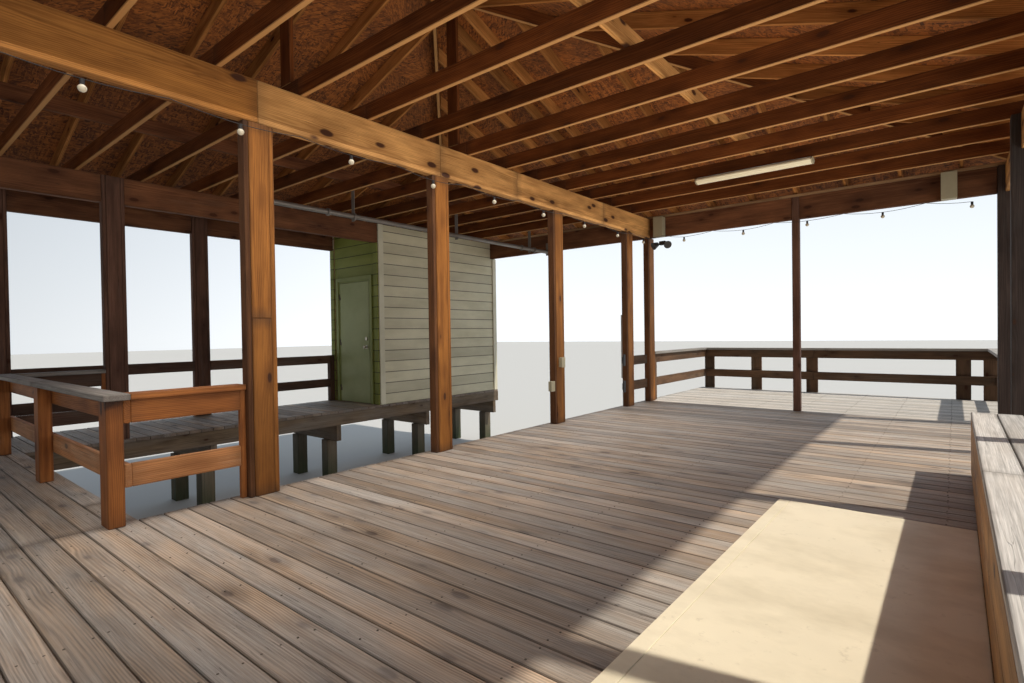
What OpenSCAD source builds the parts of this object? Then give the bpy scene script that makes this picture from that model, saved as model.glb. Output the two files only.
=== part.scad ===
// Timber boathouse: a decked pavilion on piles round one boat slip, with a storage room.
// X runs across the building, Y towards the lake and Z up.
// The origin lies under the middle of the plan, at the level of the pile feet.

/* [Building] */
// Width over the outer faces of the side posts
span_w = 9144; // [8600:1:9600]
// Spacing of the rafters and ceiling joists
rafter_pitch = 610; // [580:1:640]
// Number of rafter bays between the two end lines
rafter_bays = 17; // [17:1:18]
// Height of the deck's top above the pile feet
deck_h = 1100; // [900:1:1500]
// Clear height from the deck to the underside of the beams
head_room = 2640; // [2400:1:2900]
// Open deck before the near end line
near_apron = 440; // [380:1:700]
// Open deck past the far end line
lake_deck_l = 2690; // [2200:1:3200]

/* [Slip] */
// Width of the open slip
slip_w = 3275; // [3000:1:3400]
// Width of the walkway on the slip's left, from the outer post face
walk_w = 1372; // [1340:1:1450]
// Depth of the deck from its near edge to the slip's head
near_deck_l = 3615; // [3500:1:3700]

/* [Deck] */
// Thickness of the deck boards
board_t = 38; // [25:1:45]
// Depth of the joists
joist_d = 184; // [140:1:235]
// Spacing of the joists
joist_pitch = 610; // [500:1:700]
// Depth of the beams on the piles
cap_d = 235; // [184:1:286]
// Thickness of the beams on the piles
cap_t = 76; // [60:1:110]
// Side of a square pile
pile_w = 165; // [140:1:200]
// Reach of the deck past the posts
deck_lip = 20; // [5:1:40]
// Distance of the piles from the deck's edge
pile_inset = 270; // [220:1:320]
// Number of pile rows between the slip's head and the far end line
pile_rows = 4; // [3:1:5]

/* [Posts and beams] */
// Thickness of all single planks
plank_t = 38; // [32:1:42]
// Depth of a built-up post across the building
post_d = 89; // [80:1:100]
// Width of the core of a built-up post
core_w = 140; // [120:1:160]
// Set-back of the cheeks behind the core's face
cheek_step = 4; // [2:1:8]
// Side of a corner post
corner_w = 140; // [120:1:160]
// Side of a slender post
slim_w = 89; // [80:1:110]
// Depth of the beams
beam_d = 305; // [240:1:340]
// Thickness of the beams
beam_t = 76; // [60:1:85]
// Bearing of the centre posts past the slip's edge
post_land = 145; // [120:1:170]
// Distance between the last two right-hand posts
right_pitch = 1895; // [1800:1:1950]
// Distance of the near slip posts before the slip's head
post_before = 1215; // [1100:1:1300]
// Distance of the first centre post past the slip's head
post_past = 745; // [700:1:800]
// Distance from the first centre post to the second
second_bay = 1770; // [1600:1:1900]
// Distance from the second centre post to the third
third_bay = 2000; // [1800:1:2100]
// Distance between the last two centre posts
last_bay = 762; // [700:1:850]
// Distance of the slip's left post past its head
left_past = 805; // [750:1:850]
// Distance of the outer left post past the slip's head
outer_past = 2195; // [2000:1:2400]
// Distance of the last slip post on the left from the storage room
room_bay = 1880; // [1700:1:2000]

/* [Roof] */
// Rise of the roof in each 12 of run
roof_rise = 4; // [3:0.5:5]
// Depth of the ceiling joists
ceiling_d = 140; // [120:1:184]
// Depth of the rafters
rafter_d = 140; // [120:1:184]
// Depth of the ridge board
ridge_d = 184; // [150:1:235]
// Width of the plates on the end lines
plate_d = 89; // [80:1:100]
// Place of the right tie on the ceiling joists, from the ridge
tie_right = 2300; // [2200:1:2400]
// Place of the left tie on the ceiling joists, from the ridge
tie_left = 1950; // [1850:1:2050]
// Reach of the eaves past the outer posts
eave_out = 340; // [300:1:400]
// Thickness of the roof boarding
sheath_t = 12; // [9:1:20]
// Thickness of the metal roofing's flat pans
pan_t = 3; // [2:1:6]
// Height of the metal roofing's ribs
rib_h = 19; // [12:1:25]
// Spacing of the metal roofing's ribs
rib_pitch = 229; // [200:1:300]
// Width of a rib's foot
rib_foot = 44; // [36:1:60]
// Width of a rib's top
rib_top = 18; // [12:1:24]
// Reach of the metal roofing past the boarding
drip = 40; // [20:1:60]
// Reach of the ridge cap down each slope
ridge_reach = 170; // [140:1:220]
// Spacing of the rafters in the two hipped ends
jack_pitch = 588; // [560:1:620]
// Distance of a hipped end's two middle rafters from its middle
jack_pair = 135; // [120:1:150]
// Depth of the eaves boards
fascia_d = 140; // [120:1:160]

/* [Storage room] */
// Length of the storage room
room_l = 2920; // [2600:1:3000]
// Thickness of its walls
wall_t = 110; // [90:1:130]
// Reach of the room past the far end line
room_out = 120; // [100:1:160]
// Width of the door leaf
door_w = 813; // [760:1:840]
// Height of the door leaf
door_h = 2032; // [1900:1:2100]
// Thickness of the door leaf
door_t = 44; // [35:1:50]
// Width of the trim round the door
casing_w = 60; // [40:1:62]
// Width of the corner boards
trim_w = 100; // [80:1:120]
// Thickness of trim boards
trim_t = 19; // [12:1:25]

/* [Rails] */
// Height of the rails' top over the deck
rail_h = 795; // [760:1:1000]
// Width of a 2 by 6 board
wide_b = 140; // [120:1:150]
// Height of the lower rail over the deck
low_rail_z = 230; // [150:1:280]
// Width of a rail post on the lake deck
rail_post_w = 184; // [140:1:200]
// Set-back of the slip guard's posts from the slip's head
guard_back = 180; // [150:1:220]
// Place of the guard's right post past the slip's right edge
guard_right = 30; // [10:1:60]
// Place of the guard's middle post before the slip's middle
guard_mid = 60; // [0:1:150]
// Place of the guard's left post past the slip's left edge
guard_left = 110; // [90:1:130]
// Reach of a rail's cap past the boards under it
cap_lip = 15; // [5:1:30]

/* [Fittings] */
// Depth of the built-in bench
bench_w = 290; // [250:1:330]
// Height of the built-in bench
bench_h = 480; // [420:1:520]
// Length of the built-in bench
bench_l = 5480; // [4800:1:6000]
// Width of the painted panel on the deck
panel_w = 990; // [900:1:1100]
// Length of the painted panel on the deck
panel_l = 2420; // [2200:1:2600]
// Distance of the painted panel from the slip's head
panel_past = 290; // [200:1:400]
// Distance of the bench's end from the far end line
bench_end = 2980; // [2900:1:3100]
// Thickness of the painted panel
panel_t = 15; // [9:1:19]
// Length of the strip light
light_l = 1244; // [1000:1:1300]
// Width of the strip light
light_w = 136; // [110:1:160]
// Depth of the strip light
light_d = 70; // [50:1:90]
// Distance of the strip light from the centre posts
light_in = 1430; // [1200:1:1600]
// Width of the boxes on the far header
box_w = 150; // [120:1:180]
// Depth of the boxes on the far header
box_d = 130; // [100:1:150]
// Radius of the grab bars
bar_r = 14; // [10:1:18]
// Clearance of the grab bars from their posts
bar_off = 60; // [45:1:70]
// Height of the lower grab bar over the deck, and its length
low_bar = [420, 970]; // [400:1:1100]
// Height of the upper grab bar over the deck, and its length
high_bar = [750, 580]; // [500:1:900]

/* [Boat hoist] */
// Radius of the hoist's shaft
shaft_r = 30; // [24:1:40]
// Drop of the shaft's middle below the underside of the beams
shaft_drop = 15; // [5:1:40]
// Distance of the shaft from the slip's middle, to the left
shaft_left = 250; // [150:1:350]
// Width of the hoist's winder
winder_w = 150; // [120:1:180]
// Height of the hoist's winder
winder_h = 560; // [500:1:620]

/* [Hidden] */

half_w = span_w / 2;
roof_l = rafter_pitch * rafter_bays;
deck_l = near_apron + roof_l + lake_deck_l;
near_y = -deck_l / 2;
lake_y = deck_l / 2;
near_line = near_y + near_apron;
far_line = near_line + roof_l;
head_y = near_y + near_deck_l;
slip_left = -half_w + walk_w;
slip_right = slip_left + slip_w;
deck_edge = half_w + deck_lip;
post_w = core_w + 2 * plank_t;
centre_x = slip_right + post_land;
left_x = slip_left - deck_lip - 10;
under_z = deck_h + head_room;
bear_z = under_z + beam_d;
seat = 0.3;
slope = roof_rise / 12;
pitch_a = atan(slope);
rafter_v = rafter_d / cos(pitch_a);
heel_h = plank_t + rafter_v + seat;
eave_x = half_w + eave_out;
mid_y = (near_line + far_line) / 2;
half_ridge = (roof_l + beam_t) / 2 - half_w;
joist_z = deck_h - board_t - joist_d;
cap_z = joist_z - cap_d;
room_near = far_line + room_out - room_l;
room_far = far_line + room_out;
header_in = far_line - beam_t / 2;

// Places of the posts in their four lines, from the near end to the far one
first_y = head_y + post_past;
centre_ys = [near_line, head_y - post_before, first_y, first_y + second_bay,
    first_y + second_bay + third_bay, far_line - last_bay, far_line];
left_ys = [near_line, head_y - post_before, head_y + left_past, room_near - room_bay];
outer_ys = [near_line, head_y, head_y + outer_past];
right_last = far_line - right_pitch;
right_ys = [near_line, head_y - post_before, first_y, (first_y + right_last) / 2, right_last,
    far_line];
end_post_x = (centre_x + half_w) / 2 - slim_w / 2;

// Height of the rafters' upper edge at a distance x from the ridge
function roof_z(x) = bear_z + heel_h + slope * (half_w - abs(x));

module block(x0, x1, y0, y1, z0, z1)
    translate([x0, y0, z0]) cube([x1 - x0, y1 - y0, z1 - z0]);

// Extrudes an outline drawn in X and Z along Y, from y0 to y1
module along_y(y0, y1)
    translate([0, y1, 0]) rotate([90, 0, 0]) linear_extrude(y1 - y0) children();

// A post of a core between two cheeks, with its outer face at x1 and its middle at y
module built_post(x1, y, h)
    translate([x1 - post_d, y - post_w / 2, deck_h]) linear_extrude(h)
        polygon([[0, 0], [post_d - cheek_step, 0], [post_d - cheek_step, plank_t],
            [post_d, plank_t], [post_d, plank_t + core_w],
            [post_d - cheek_step, plank_t + core_w], [post_d - cheek_step, post_w],
            [0, post_w]]);

module square_post(x, y, w)
    block(x - w / 2, x + w / 2, y - w / 2, y + w / 2, deck_h, bear_z);

near_rows = [near_y + pile_inset, (near_y + head_y) / 2, head_y - pile_inset];
side_rows = [for (i = [1:pile_rows]) head_y + i * (far_line - head_y) / pile_rows];
lake_rows = [lake_y - pile_inset];
right_cols = [slip_right + pile_inset, (slip_right + deck_edge) / 2, deck_edge - pile_inset];
left_cols = [-deck_edge + pile_inset, slip_left - pile_inset];
near_cols = concat(left_cols, [(slip_left + slip_right) / 2], right_cols);

module pile(x, y)
    block(x - pile_w / 2, x + pile_w / 2, y - pile_w / 2, y + pile_w / 2, 0, cap_z);

module piles() color("#6b5a48") {
    for (y = near_rows, x = near_cols) pile(x, y);
    for (y = concat(side_rows, lake_rows), x = right_cols) pile(x, y);
    for (y = side_rows, x = left_cols) pile(x, y);
}

module cap_beam(x0, x1, y)
    block(x0, x1, y - cap_t / 2, y + cap_t / 2, cap_z, joist_z);

module pile_beams() color("#6f5f4e") {
    for (y = near_rows) cap_beam(-deck_edge, deck_edge, y);
    for (y = concat(side_rows, lake_rows)) cap_beam(slip_right, deck_edge, y);
    for (y = side_rows) cap_beam(-deck_edge, slip_left, y);
}

// A frame of joists along Y between two rim planks
module joist_frame(x0, x1, y0, y1) {
    bays = ceil((x1 - x0 - plank_t) / joist_pitch);
    step = (x1 - x0 - plank_t) / bays;
    for (i = [0:bays]) block(x0 + i * step, x0 + i * step + plank_t, y0, y1,
        joist_z, joist_z + joist_d);
    for (y = [y0, y1 - plank_t]) block(x0, x1, y, y + plank_t, joist_z, joist_z + joist_d);
}

module near_deck_frame() color("#77644f")
    joist_frame(-deck_edge, deck_edge, near_y, head_y);
module main_deck_frame() color("#77644f")
    joist_frame(slip_right, deck_edge, head_y, lake_y);
module walkway_frame() color("#77644f")
    joist_frame(-deck_edge, slip_left, head_y, room_far);

module deck_slab(x0, x1, y0, y1)
    color("#8d8175") block(x0, x1, y0, y1, deck_h - board_t, deck_h);

module near_deck() deck_slab(-deck_edge, deck_edge, near_y, head_y);
module main_deck() deck_slab(slip_right, deck_edge, head_y, far_line);
module lake_deck() deck_slab(slip_right, deck_edge, far_line, lake_y);
module walkway_deck() deck_slab(-deck_edge, slip_left, head_y, room_far);

// The centre posts carry their beam, and the posts of the side lines run up between theirs
module centre_posts() color("#a8703a")
    for (y = centre_ys) built_post(centre_x, y, head_room);
module slip_left_posts() color("#6f4a34")
    for (y = left_ys) built_post(left_x, y, head_room + beam_d);
module outer_left_posts() color("#6f4a34")
    for (y = outer_ys) built_post(-half_w + post_d, y, head_room + beam_d);
module right_posts() color("#8a5c3a")
    for (y = right_ys) square_post(half_w - corner_w / 2, y, corner_w);
module end_posts() color("#9c7a58")
    for (y = [near_line, far_line]) square_post(end_post_x, y, slim_w);

module side_beam(x0, y0, y1)
    block(x0, x0 + beam_t, y0, y1, under_z, bear_z);

// Lengths of beam between the posts of one line, each cut to fit
module cut_beam(x0, ys, w)
    for (i = [0:len(ys) - 2]) side_beam(x0, ys[i] + w / 2 + seat, ys[i + 1] - w / 2 - seat);

module centre_beam() color("#a9743c")
    side_beam(centre_x - beam_t, near_line + beam_t / 2, header_in);
module slip_left_beam() color("#8a5236")
    cut_beam(left_x - beam_t - cheek_step, concat(left_ys, [room_near + post_w / 2]), post_w);
module outer_left_beam() color("#6b4230")
    cut_beam(-half_w, concat(outer_ys, [room_near + post_w / 2]), post_w);
module right_beam() color("#a06a3a")
    cut_beam(half_w - beam_t, right_ys, corner_w);

module header(x0, x1, y)
    block(x0 + seat, x1 - seat, y - beam_t / 2, y + beam_t / 2, under_z, bear_z);

// The two end lines: beams between the posts, under a plate that carries the end rafters
module end_headers() color("#7a4c30") {
    right_x = half_w - corner_w;
    header(-half_w + post_d, left_x - post_d, near_line);
    for (y = [near_line, far_line]) {
        header(left_x, end_post_x - slim_w / 2, y);
        header(end_post_x + slim_w / 2, right_x, y);
    }
    for (m = [0, 1]) translate([0, mid_y, 0]) mirror([0, m, 0])
        block(-half_w, half_w, half_w + half_ridge - plate_d, half_w + half_ridge,
            bear_z, bear_z + plank_t);
}

// One roof slope on the right, between two heights over the rafters
module slope_2d(z0, z1, x0, x1) polygon([
    [x0, roof_z(x0) + z0], [x1, roof_z(x1) + z0],
    [x1, roof_z(x1) + z1], [x0, roof_z(x0) + z1]]);

// Plan of one slope whose ridge is 2 * r long, kept back by gap from its ridge and hips
module slope_plan(r, gap) {
    hip = gap * sqrt(2);
    far_x = eave_x + wide_b;
    start = max(gap, hip - r);
    translate([0, 0, bear_z - wide_b]) linear_extrude(roof_z(0) - bear_z + 2 * wide_b)
        polygon(r > 0 ? [[start, hip - r - start], [far_x, hip - r - far_x],
            [far_x, far_x + r - hip], [start, start + r - hip]]
            : [[hip, 0], [far_x, hip - far_x], [far_x, far_x - hip]]);
}

// Lays what is made for a slope towards +X, with its middle at Y = 0, on the four slopes
module on_sides() for (m = [0, 1]) translate([0, mid_y, 0]) mirror([m, 0, 0]) children();
module on_ends() for (m = [-1, 1])
    translate([0, mid_y + m * half_ridge, 0]) rotate([0, 0, m * 90]) children();

module rafter_2d() slope_2d(-rafter_v, 0, 0, eave_x);
rafter_gap = plank_t / 2 + seat;
module plank_at(y) along_y(y - plank_t / 2, y + plank_t / 2) children();

half_bays = floor(rafter_bays / 2);
king_bays = [half_bays - 1, rafter_bays - half_bays + 1];
function frame_y(i) = near_line + i * rafter_pitch;

// Ceiling joists, each with its rafters, and on two of them a post that holds up a hipped end
module rafter_frames(first, last) {
    for (i = [first:last]) {
        plank_at(frame_y(i)) translate([-half_w, bear_z]) square([span_w, ceiling_d]);
        on_sides() intersection() {
            slope_plan(half_ridge, rafter_gap);
            plank_at(frame_y(i) - mid_y) rafter_2d();
        }
    }
    for (i = king_bays) if (i >= first && i <= last) {
        top = roof_z(abs(frame_y(i) - mid_y) + plank_t / 2 - half_ridge) - seat;
        plank_at(frame_y(i)) translate([-wide_b / 2, bear_z]) square([wide_b, top - bear_z]);
    }
}
module near_rafters() color("#8b5a34") rafter_frames(1, half_bays);
module far_rafters() color("#8b5a34") rafter_frames(half_bays + 1, rafter_bays - 1);

// The rafters of the two hipped ends run along Y, from the end lines up to the hips
module end_rafters() color("#8b5a34") {
    jacks = floor((half_w - jack_pitch / 2) / jack_pitch);
    on_ends() intersection() {
        slope_plan(0, rafter_gap);
        for (m = [-1, 1], y = concat([jack_pair], [for (i = [1:jacks]) i * jack_pitch]))
            plank_at(m * y) rafter_2d();
    }
}

// The ridge board and the four hips that run down from its ends to the corners
ridge_drop = slope * rafter_gap;
hip_slope = slope / sqrt(2);
hip_l = eave_x * sqrt(2) - rafter_gap;
module hip_2d() polygon([
    [0, roof_z(0) - ridge_drop], [hip_l, roof_z(0) - ridge_drop - hip_slope * hip_l],
    [hip_l, roof_z(0) - rafter_v - hip_slope * hip_l], [0, roof_z(0) - rafter_v]]);
module hip_rafters() color("#8b5a34") {
    top = roof_z(0) - ridge_drop;
    translate([0, mid_y, 0]) {
        block(-plank_t / 2, plank_t / 2, -half_ridge, half_ridge, top - ridge_d, top);
        for (m = [-1, 1], turn = [45, 135]) translate([0, m * half_ridge, 0])
            rotate([0, 0, m * turn]) plank_at(0) hip_2d();
    }
}

// Two ties on edge along the joists, clear of the hipped ends' lowest rafters
module joist_ties() color("#7d5232") {
    z0 = bear_z + ceiling_d;
    for (x = [-tie_left, tie_right]) block(x - plank_t / 2, x + plank_t / 2,
        frame_y(2) - plank_t / 2, frame_y(rafter_bays - 2) + plank_t / 2, z0, z0 + wide_b);
}

sheath_v = sheath_t / cos(pitch_a);
module boarding(r) intersection() {
    slope_plan(r, seat);
    along_y(-eave_x - r, eave_x + r) slope_2d(0, sheath_v, 0, eave_x);
}
module roof_boarding() color("#b97b45") {
    on_sides() boarding(half_ridge);
    on_ends() boarding(0);
}

// Ribbed sheet: its profile runs along Y and it is extruded down the slope
module sheet_profile(len) {
    ribs = floor(len / rib_pitch);
    first = (len - (ribs - 1) * rib_pitch) / 2;
    polygon(concat([[0, 0], [0, pan_t]],
        [for (i = [0:ribs - 1], p = [[-rib_foot, pan_t], [-rib_top, rib_h], [rib_top, rib_h],
            [rib_foot, pan_t]]) [first + i * rib_pitch + p[0] / 2, p[1]]],
        [[len, pan_t], [len, 0]]));
}

metal_x = eave_x + drip;
module metal_sheet(r) {
    half = metal_x + r - pan_t;
    intersection() {
        slope_plan(r, rib_h);
        translate([0, -half, roof_z(0) + sheath_v + seat]) rotate([0, pitch_a, 0])
            rotate([90, 0, 90]) linear_extrude(metal_x / cos(pitch_a)) sheet_profile(2 * half);
    }
}

module metal_roof() color("#7a4534") {
    on_sides() metal_sheet(half_ridge);
    on_ends() metal_sheet(0);
}

// One cap of folded sheet lies on the ribs along the ridge and the hips
module cap_side(r) {
    lift = sheath_v + seat + (rib_h + seat) / cos(pitch_a);
    intersection() {
        difference() {
            slope_plan(r, 0);
            slope_plan(r, ridge_reach);
        }
        along_y(-metal_x - r, metal_x + r) slope_2d(lift, lift + pan_t, 0, metal_x);
    }
}
module ridge_cap() color("#6e3d2e") {
    on_sides() cap_side(half_ridge);
    on_ends() cap_side(0);
}

module eaves_boards() color("#5d3a2c") {
    top = roof_z(eave_x + plank_t) + sheath_v;
    on_sides() block(eave_x, eave_x + plank_t, -eave_x - half_ridge, eave_x + half_ridge,
        top - fascia_d, top);
    on_ends() block(eave_x, eave_x + plank_t, -eave_x - plank_t, eave_x + plank_t,
        top - fascia_d, top);
}

room_left = -half_w;
room_right = left_x;
module wall(x0, x1, y0, y1) block(x0, x1, y0, y1, deck_h, bear_z);

module room_slip_wall() color("#cfc9b6")
    wall(room_right - wall_t, room_right, room_near, room_far);
module room_outer_wall() color("#a9ab90")
    wall(room_left, room_left + wall_t, room_near, room_far);
module room_far_wall() color("#a9ab90")
    wall(room_left + wall_t, room_right - wall_t, room_far - wall_t, room_far);

frame_t = 30;
door_gap = 5;
stop_w = 12;
lap = 3;
open_w = door_w + 2 * door_gap + 2 * frame_t;
open_h = door_h + 2 * door_gap + frame_t;
door_mid = (room_left + room_right) / 2;
door_z = deck_h + door_gap;
hinge_x = door_mid - door_w / 2;

module room_door_wall() color("#8f9a72") {
    wall(room_left + wall_t, door_mid - open_w / 2, room_near, room_near + wall_t);
    wall(door_mid + open_w / 2, room_right - wall_t, room_near, room_near + wall_t);
}

module door_head_wall() color("#8f9a72")
    block(door_mid - open_w / 2 + seat, door_mid + open_w / 2 - seat,
        room_near, room_near + wall_t, deck_h + open_h, bear_z);

// Upright corner boards on the room's faces, which end under the beams
module room_trim() color("#d3cdb9") {
    z1 = under_z - seat;
    for (x = [room_left, room_right - trim_w])
        block(x, x + trim_w, room_near - trim_t, room_near - seat, deck_h, z1);
    block(room_right + seat, room_right + trim_t, room_near, room_near + trim_w, deck_h, bear_z);
    block(room_right + seat, room_right + trim_t, room_far - trim_w, room_far, deck_h,
        under_z - seat);
}

// Half of the frame: a jamb with its stop and its outside trim, then the head over it
module door_frame() color("#7e8a68") {
    y0 = room_near;
    y1 = room_near + wall_t;
    stop_y = room_near + door_t + door_gap;
    inner = open_w / 2 - frame_t;
    top = deck_h + open_h;
    translate([door_mid, 0, 0]) for (m = [0, 1]) mirror([m, 0, 0]) {
        block(inner, open_w / 2 - seat, y0, y1, deck_h, top - seat);
        block(inner - stop_w, inner, stop_y, y1, deck_h, top - frame_t);
        block(0, inner, y0, y1, top - frame_t, top - seat);
        block(0, inner - stop_w, stop_y, y1, top - frame_t - stop_w, top - frame_t);
        block(open_w / 2 - lap, open_w / 2 + casing_w, y0 - trim_t, y0, deck_h, top + casing_w);
        block(0, open_w / 2, y0 - trim_t, y0, top - lap, top + casing_w);
    }
    for (z = hinge_zs) hinge_half(1, z + hinge_l / 2 + seat);
}

// Butt hinges: the leaf carries the lower halves and the frame the upper ones
hinge_r = 6;
hinge_l = 100;
hinge_in = 180;
plate_w = 24;
plate_t = 3;
hinge_zs = [door_z + hinge_in, door_z + (door_h - hinge_l) / 2,
    door_z + door_h - hinge_in - hinge_l];
axis_x = hinge_x - door_gap / 2;
axis_y = room_near - hinge_r;
module hinge_half(side, z) translate([axis_x, axis_y, z]) {
    cylinder(r = hinge_r, h = hinge_l / 2 - seat, $fn = 24);
    mirror([side, 0, 0]) translate([0, hinge_r - plate_t, 0])
        cube([plate_w, plate_t, hinge_l / 2 - seat]);
}

module door_leaf() color("#76856a") {
    block(hinge_x, hinge_x + door_w, room_near, room_near + door_t, door_z, door_z + door_h);
    for (z = hinge_zs) hinge_half(0, z);
}

backset = 70;
knob_x = hinge_x + door_w - backset;
knob_up = 940;
knob_z = deck_h + knob_up;
knob_r = 28;
knob_out = 67;
bolt_up = 140;
bolt_out = 16;
// A knob and a deadbolt on the door's outer face
module knob() rotate([90, 0, 0]) rotate_extrude($fn = 24) polygon([
    [0, 0], [knob_r + 5, 0], [knob_r + 5, 6], [12, 10], [12, knob_out / 2],
    [knob_r - 3, knob_out - 25], [knob_r, knob_out - 13], [knob_r - 6, knob_out - 3],
    [0, knob_out]]);
module door_handle() color("#8d8a84") translate([knob_x, room_near, knob_z]) {
    knob();
    translate([0, 0, bolt_up]) rotate([90, 0, 0]) cylinder(r = knob_r + 2, h = bolt_out, $fn = 24);
}

// Rails and posts along one line: boards stand on edge under a flat cap
module board_rail(x0, x1, y0, y1, z)
    block(x0, x1, y0, y1, deck_h + z, deck_h + z + wide_b);
top_rail_z = rail_h - plank_t - wide_b;

cap_z0 = deck_h + rail_h - plank_t;
module rail_cap(x0, x1, y0, y1) block(x0, x1, y0, y1, cap_z0, deck_h + rail_h);

guard_y = head_y - guard_back;
bay_y = guard_y + post_d;
// One side bay of the slip's guard: two boards from its corner to an upright at a post
module guard_bay(x, y1) {
    for (z = [low_rail_z, top_rail_z]) board_rail(x, x + plank_t, bay_y, y1, z);
    block(x, x + plank_t, y1 - plank_t, y1, deck_h, cap_z0);
}

module slip_rail() color("#8a6a4c") {
    posts = [slip_left - guard_left, (slip_left + slip_right) / 2 - guard_mid,
        slip_right + guard_right];
    x0 = posts[0] - wide_b / 2;
    x1 = posts[2] + wide_b / 2;
    right_end = centre_ys[2] - post_w / 2 - seat;
    left_end = left_ys[2] - post_w / 2 - seat;
    for (x = posts) block(x - wide_b / 2, x + wide_b / 2, guard_y, bay_y, deck_h, cap_z0);
    for (z = [low_rail_z, top_rail_z]) board_rail(x0, x1, bay_y, bay_y + plank_t, z);
    rail_cap(x0 - cap_lip, x1 + cap_lip, guard_y - cap_lip, guard_y - cap_lip + wide_b);
    guard_bay(x1 - plank_t, right_end);
    guard_bay(left_x - plank_t, left_end);
    rail_cap(x1 + cap_lip - wide_b, x1 + cap_lip, bay_y, right_end);
    rail_cap(left_x + cap_lip - wide_b, left_x + cap_lip, bay_y, left_end);
}

// Boards between the outer left posts, up to a short post at the storage room
module walkway_rail() color("#6e4634") {
    x0 = -half_w + post_d - plank_t;
    end = room_near - trim_t - seat;
    ends = [outer_ys[2] - post_w / 2 - seat, end - slim_w];
    for (i = [0, 1]) for (z = [low_rail_z + cap_lip, top_rail_z + plank_t])
        board_rail(x0, x0 + plank_t, outer_ys[i + 1] + post_w / 2 + seat, ends[i], z);
    block(-half_w, -half_w + post_d, end - slim_w, end, deck_h, deck_h + rail_h);
}

module rail_run_y(x, y0, y1)
    for (z = [low_rail_z, top_rail_z]) board_rail(x, x + plank_t, y0, y1, z);

// The lake deck's rail: a run along the lake's edge, two side runs and one between posts
lake_posts = [16, 900, 1840];
pair_gap = 420;
lake_rail_y = lake_y - 2 * deck_lip;
module lake_rail() color("#9a7350") {
    y0 = far_line + post_w / 2 + seat;
    xl = centre_x;
    xr = half_w;
    in_y = lake_rail_y - 2 * plank_t;
    far_posts = [xr - pair_gap, xr - rail_post_w / 2];
    for (z = [low_rail_z, top_rail_z]) board_rail(xl - 2 * plank_t, xr, in_y, in_y + plank_t, z);
    for (x = concat([for (d = lake_posts) xl + d], far_posts))
        block(x - rail_post_w / 2, x + rail_post_w / 2, in_y + plank_t, lake_rail_y,
            deck_h, cap_z0);
    rail_cap(xl - wide_b, xr, lake_rail_y - wide_b, lake_rail_y);
    for (x = [xl - 2 * plank_t, xr - plank_t]) {
        rail_run_y(x, y0, lake_rail_y);
        block(x, x + plank_t, y0, y0 + wide_b, deck_h, cap_z0);
    }
    rail_cap(xl - wide_b, xl, y0, lake_rail_y);
    rail_cap(xr - wide_b, xr, y0, lake_rail_y);
    post_y = centre_ys[5] + post_w / 2 + seat;
    rail_run_y(xl - 2 * plank_t, post_y, far_line - post_w / 2 - seat);
}

bench_x1 = half_w - corner_w - seat;
bench_y1 = far_line - bench_end;
module bench() color("#9b7d4e") {
    x0 = bench_x1 - bench_w;
    y0 = bench_y1 - bench_l;
    difference() {
        block(x0, bench_x1, y0, bench_y1, deck_h, deck_h + bench_h);
        block(x0 + plank_t, bench_x1 - plank_t, y0 + plank_t, bench_y1 - plank_t,
            deck_h - 1, deck_h + bench_h - plank_t);
    }
}

module floor_panel() color("#d8cfa9") {
    x1 = bench_x1 - bench_w - seat;
    y0 = head_y + panel_past;
    block(x1 - panel_w, x1, y0, y0 + panel_l, deck_h, deck_h + panel_t);
}

// The strip light hangs under a ceiling joist, and two boxes are fixed to the far header
module light_2d() {
    edge = light_w / 2;
    polygon([[0, -edge / 2], [0, edge / 2], [light_d / 4, edge - 3], [light_d / 2, edge],
        [light_d - 8, edge - 26], [light_d, 0], [light_d - 8, 26 - edge], [light_d / 2, -edge],
        [light_d / 4, 3 - edge]]);
}
module roof_fittings() color("#ddd8c4") {
    translate([centre_x + light_in, far_line - 3 * rafter_pitch, bear_z]) rotate([0, 90, 0])
        linear_extrude(light_l) light_2d();
    for (x = [centre_x + box_w * 1.25, half_w - box_w * 3.8])
        block(x - box_w / 2, x + box_w / 2, header_in - box_d, header_in,
            under_z - cap_lip, bear_z - cap_lip / 3);
}

// A grab bar with its two feet, standing off along -X
module grab_bar(len) {
    for (z = [bar_r, len - bar_r]) translate([0, 0, z]) rotate([0, -90, 0])
        cylinder(r = bar_r, h = bar_off, $fn = 16);
    translate([-bar_off, 0, 0]) cylinder(r = bar_r, h = len, $fn = 16);
}
module grab_bars() color("#c8c8c4") {
    translate([centre_x - post_d, centre_ys[5], deck_h + low_bar[0]]) grab_bar(low_bar[1]);
    translate([centre_x - post_d, centre_ys[3], deck_h + high_bar[0]]) grab_bar(high_bar[1]);
}

shaft_x = (slip_left + slip_right) / 2 - shaft_left;
shaft_z = under_z - shaft_drop;
winder_bay = 8;
hanger_bays = [10, 13, 16];
function joist_face(i) = frame_y(i) + plank_t / 2 + seat;
wheel_r = winder_w;
wheel_t = 34;
motor_r = 55;
motor_h = 230;
strap_t = 6;
strap_w = 60;

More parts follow.
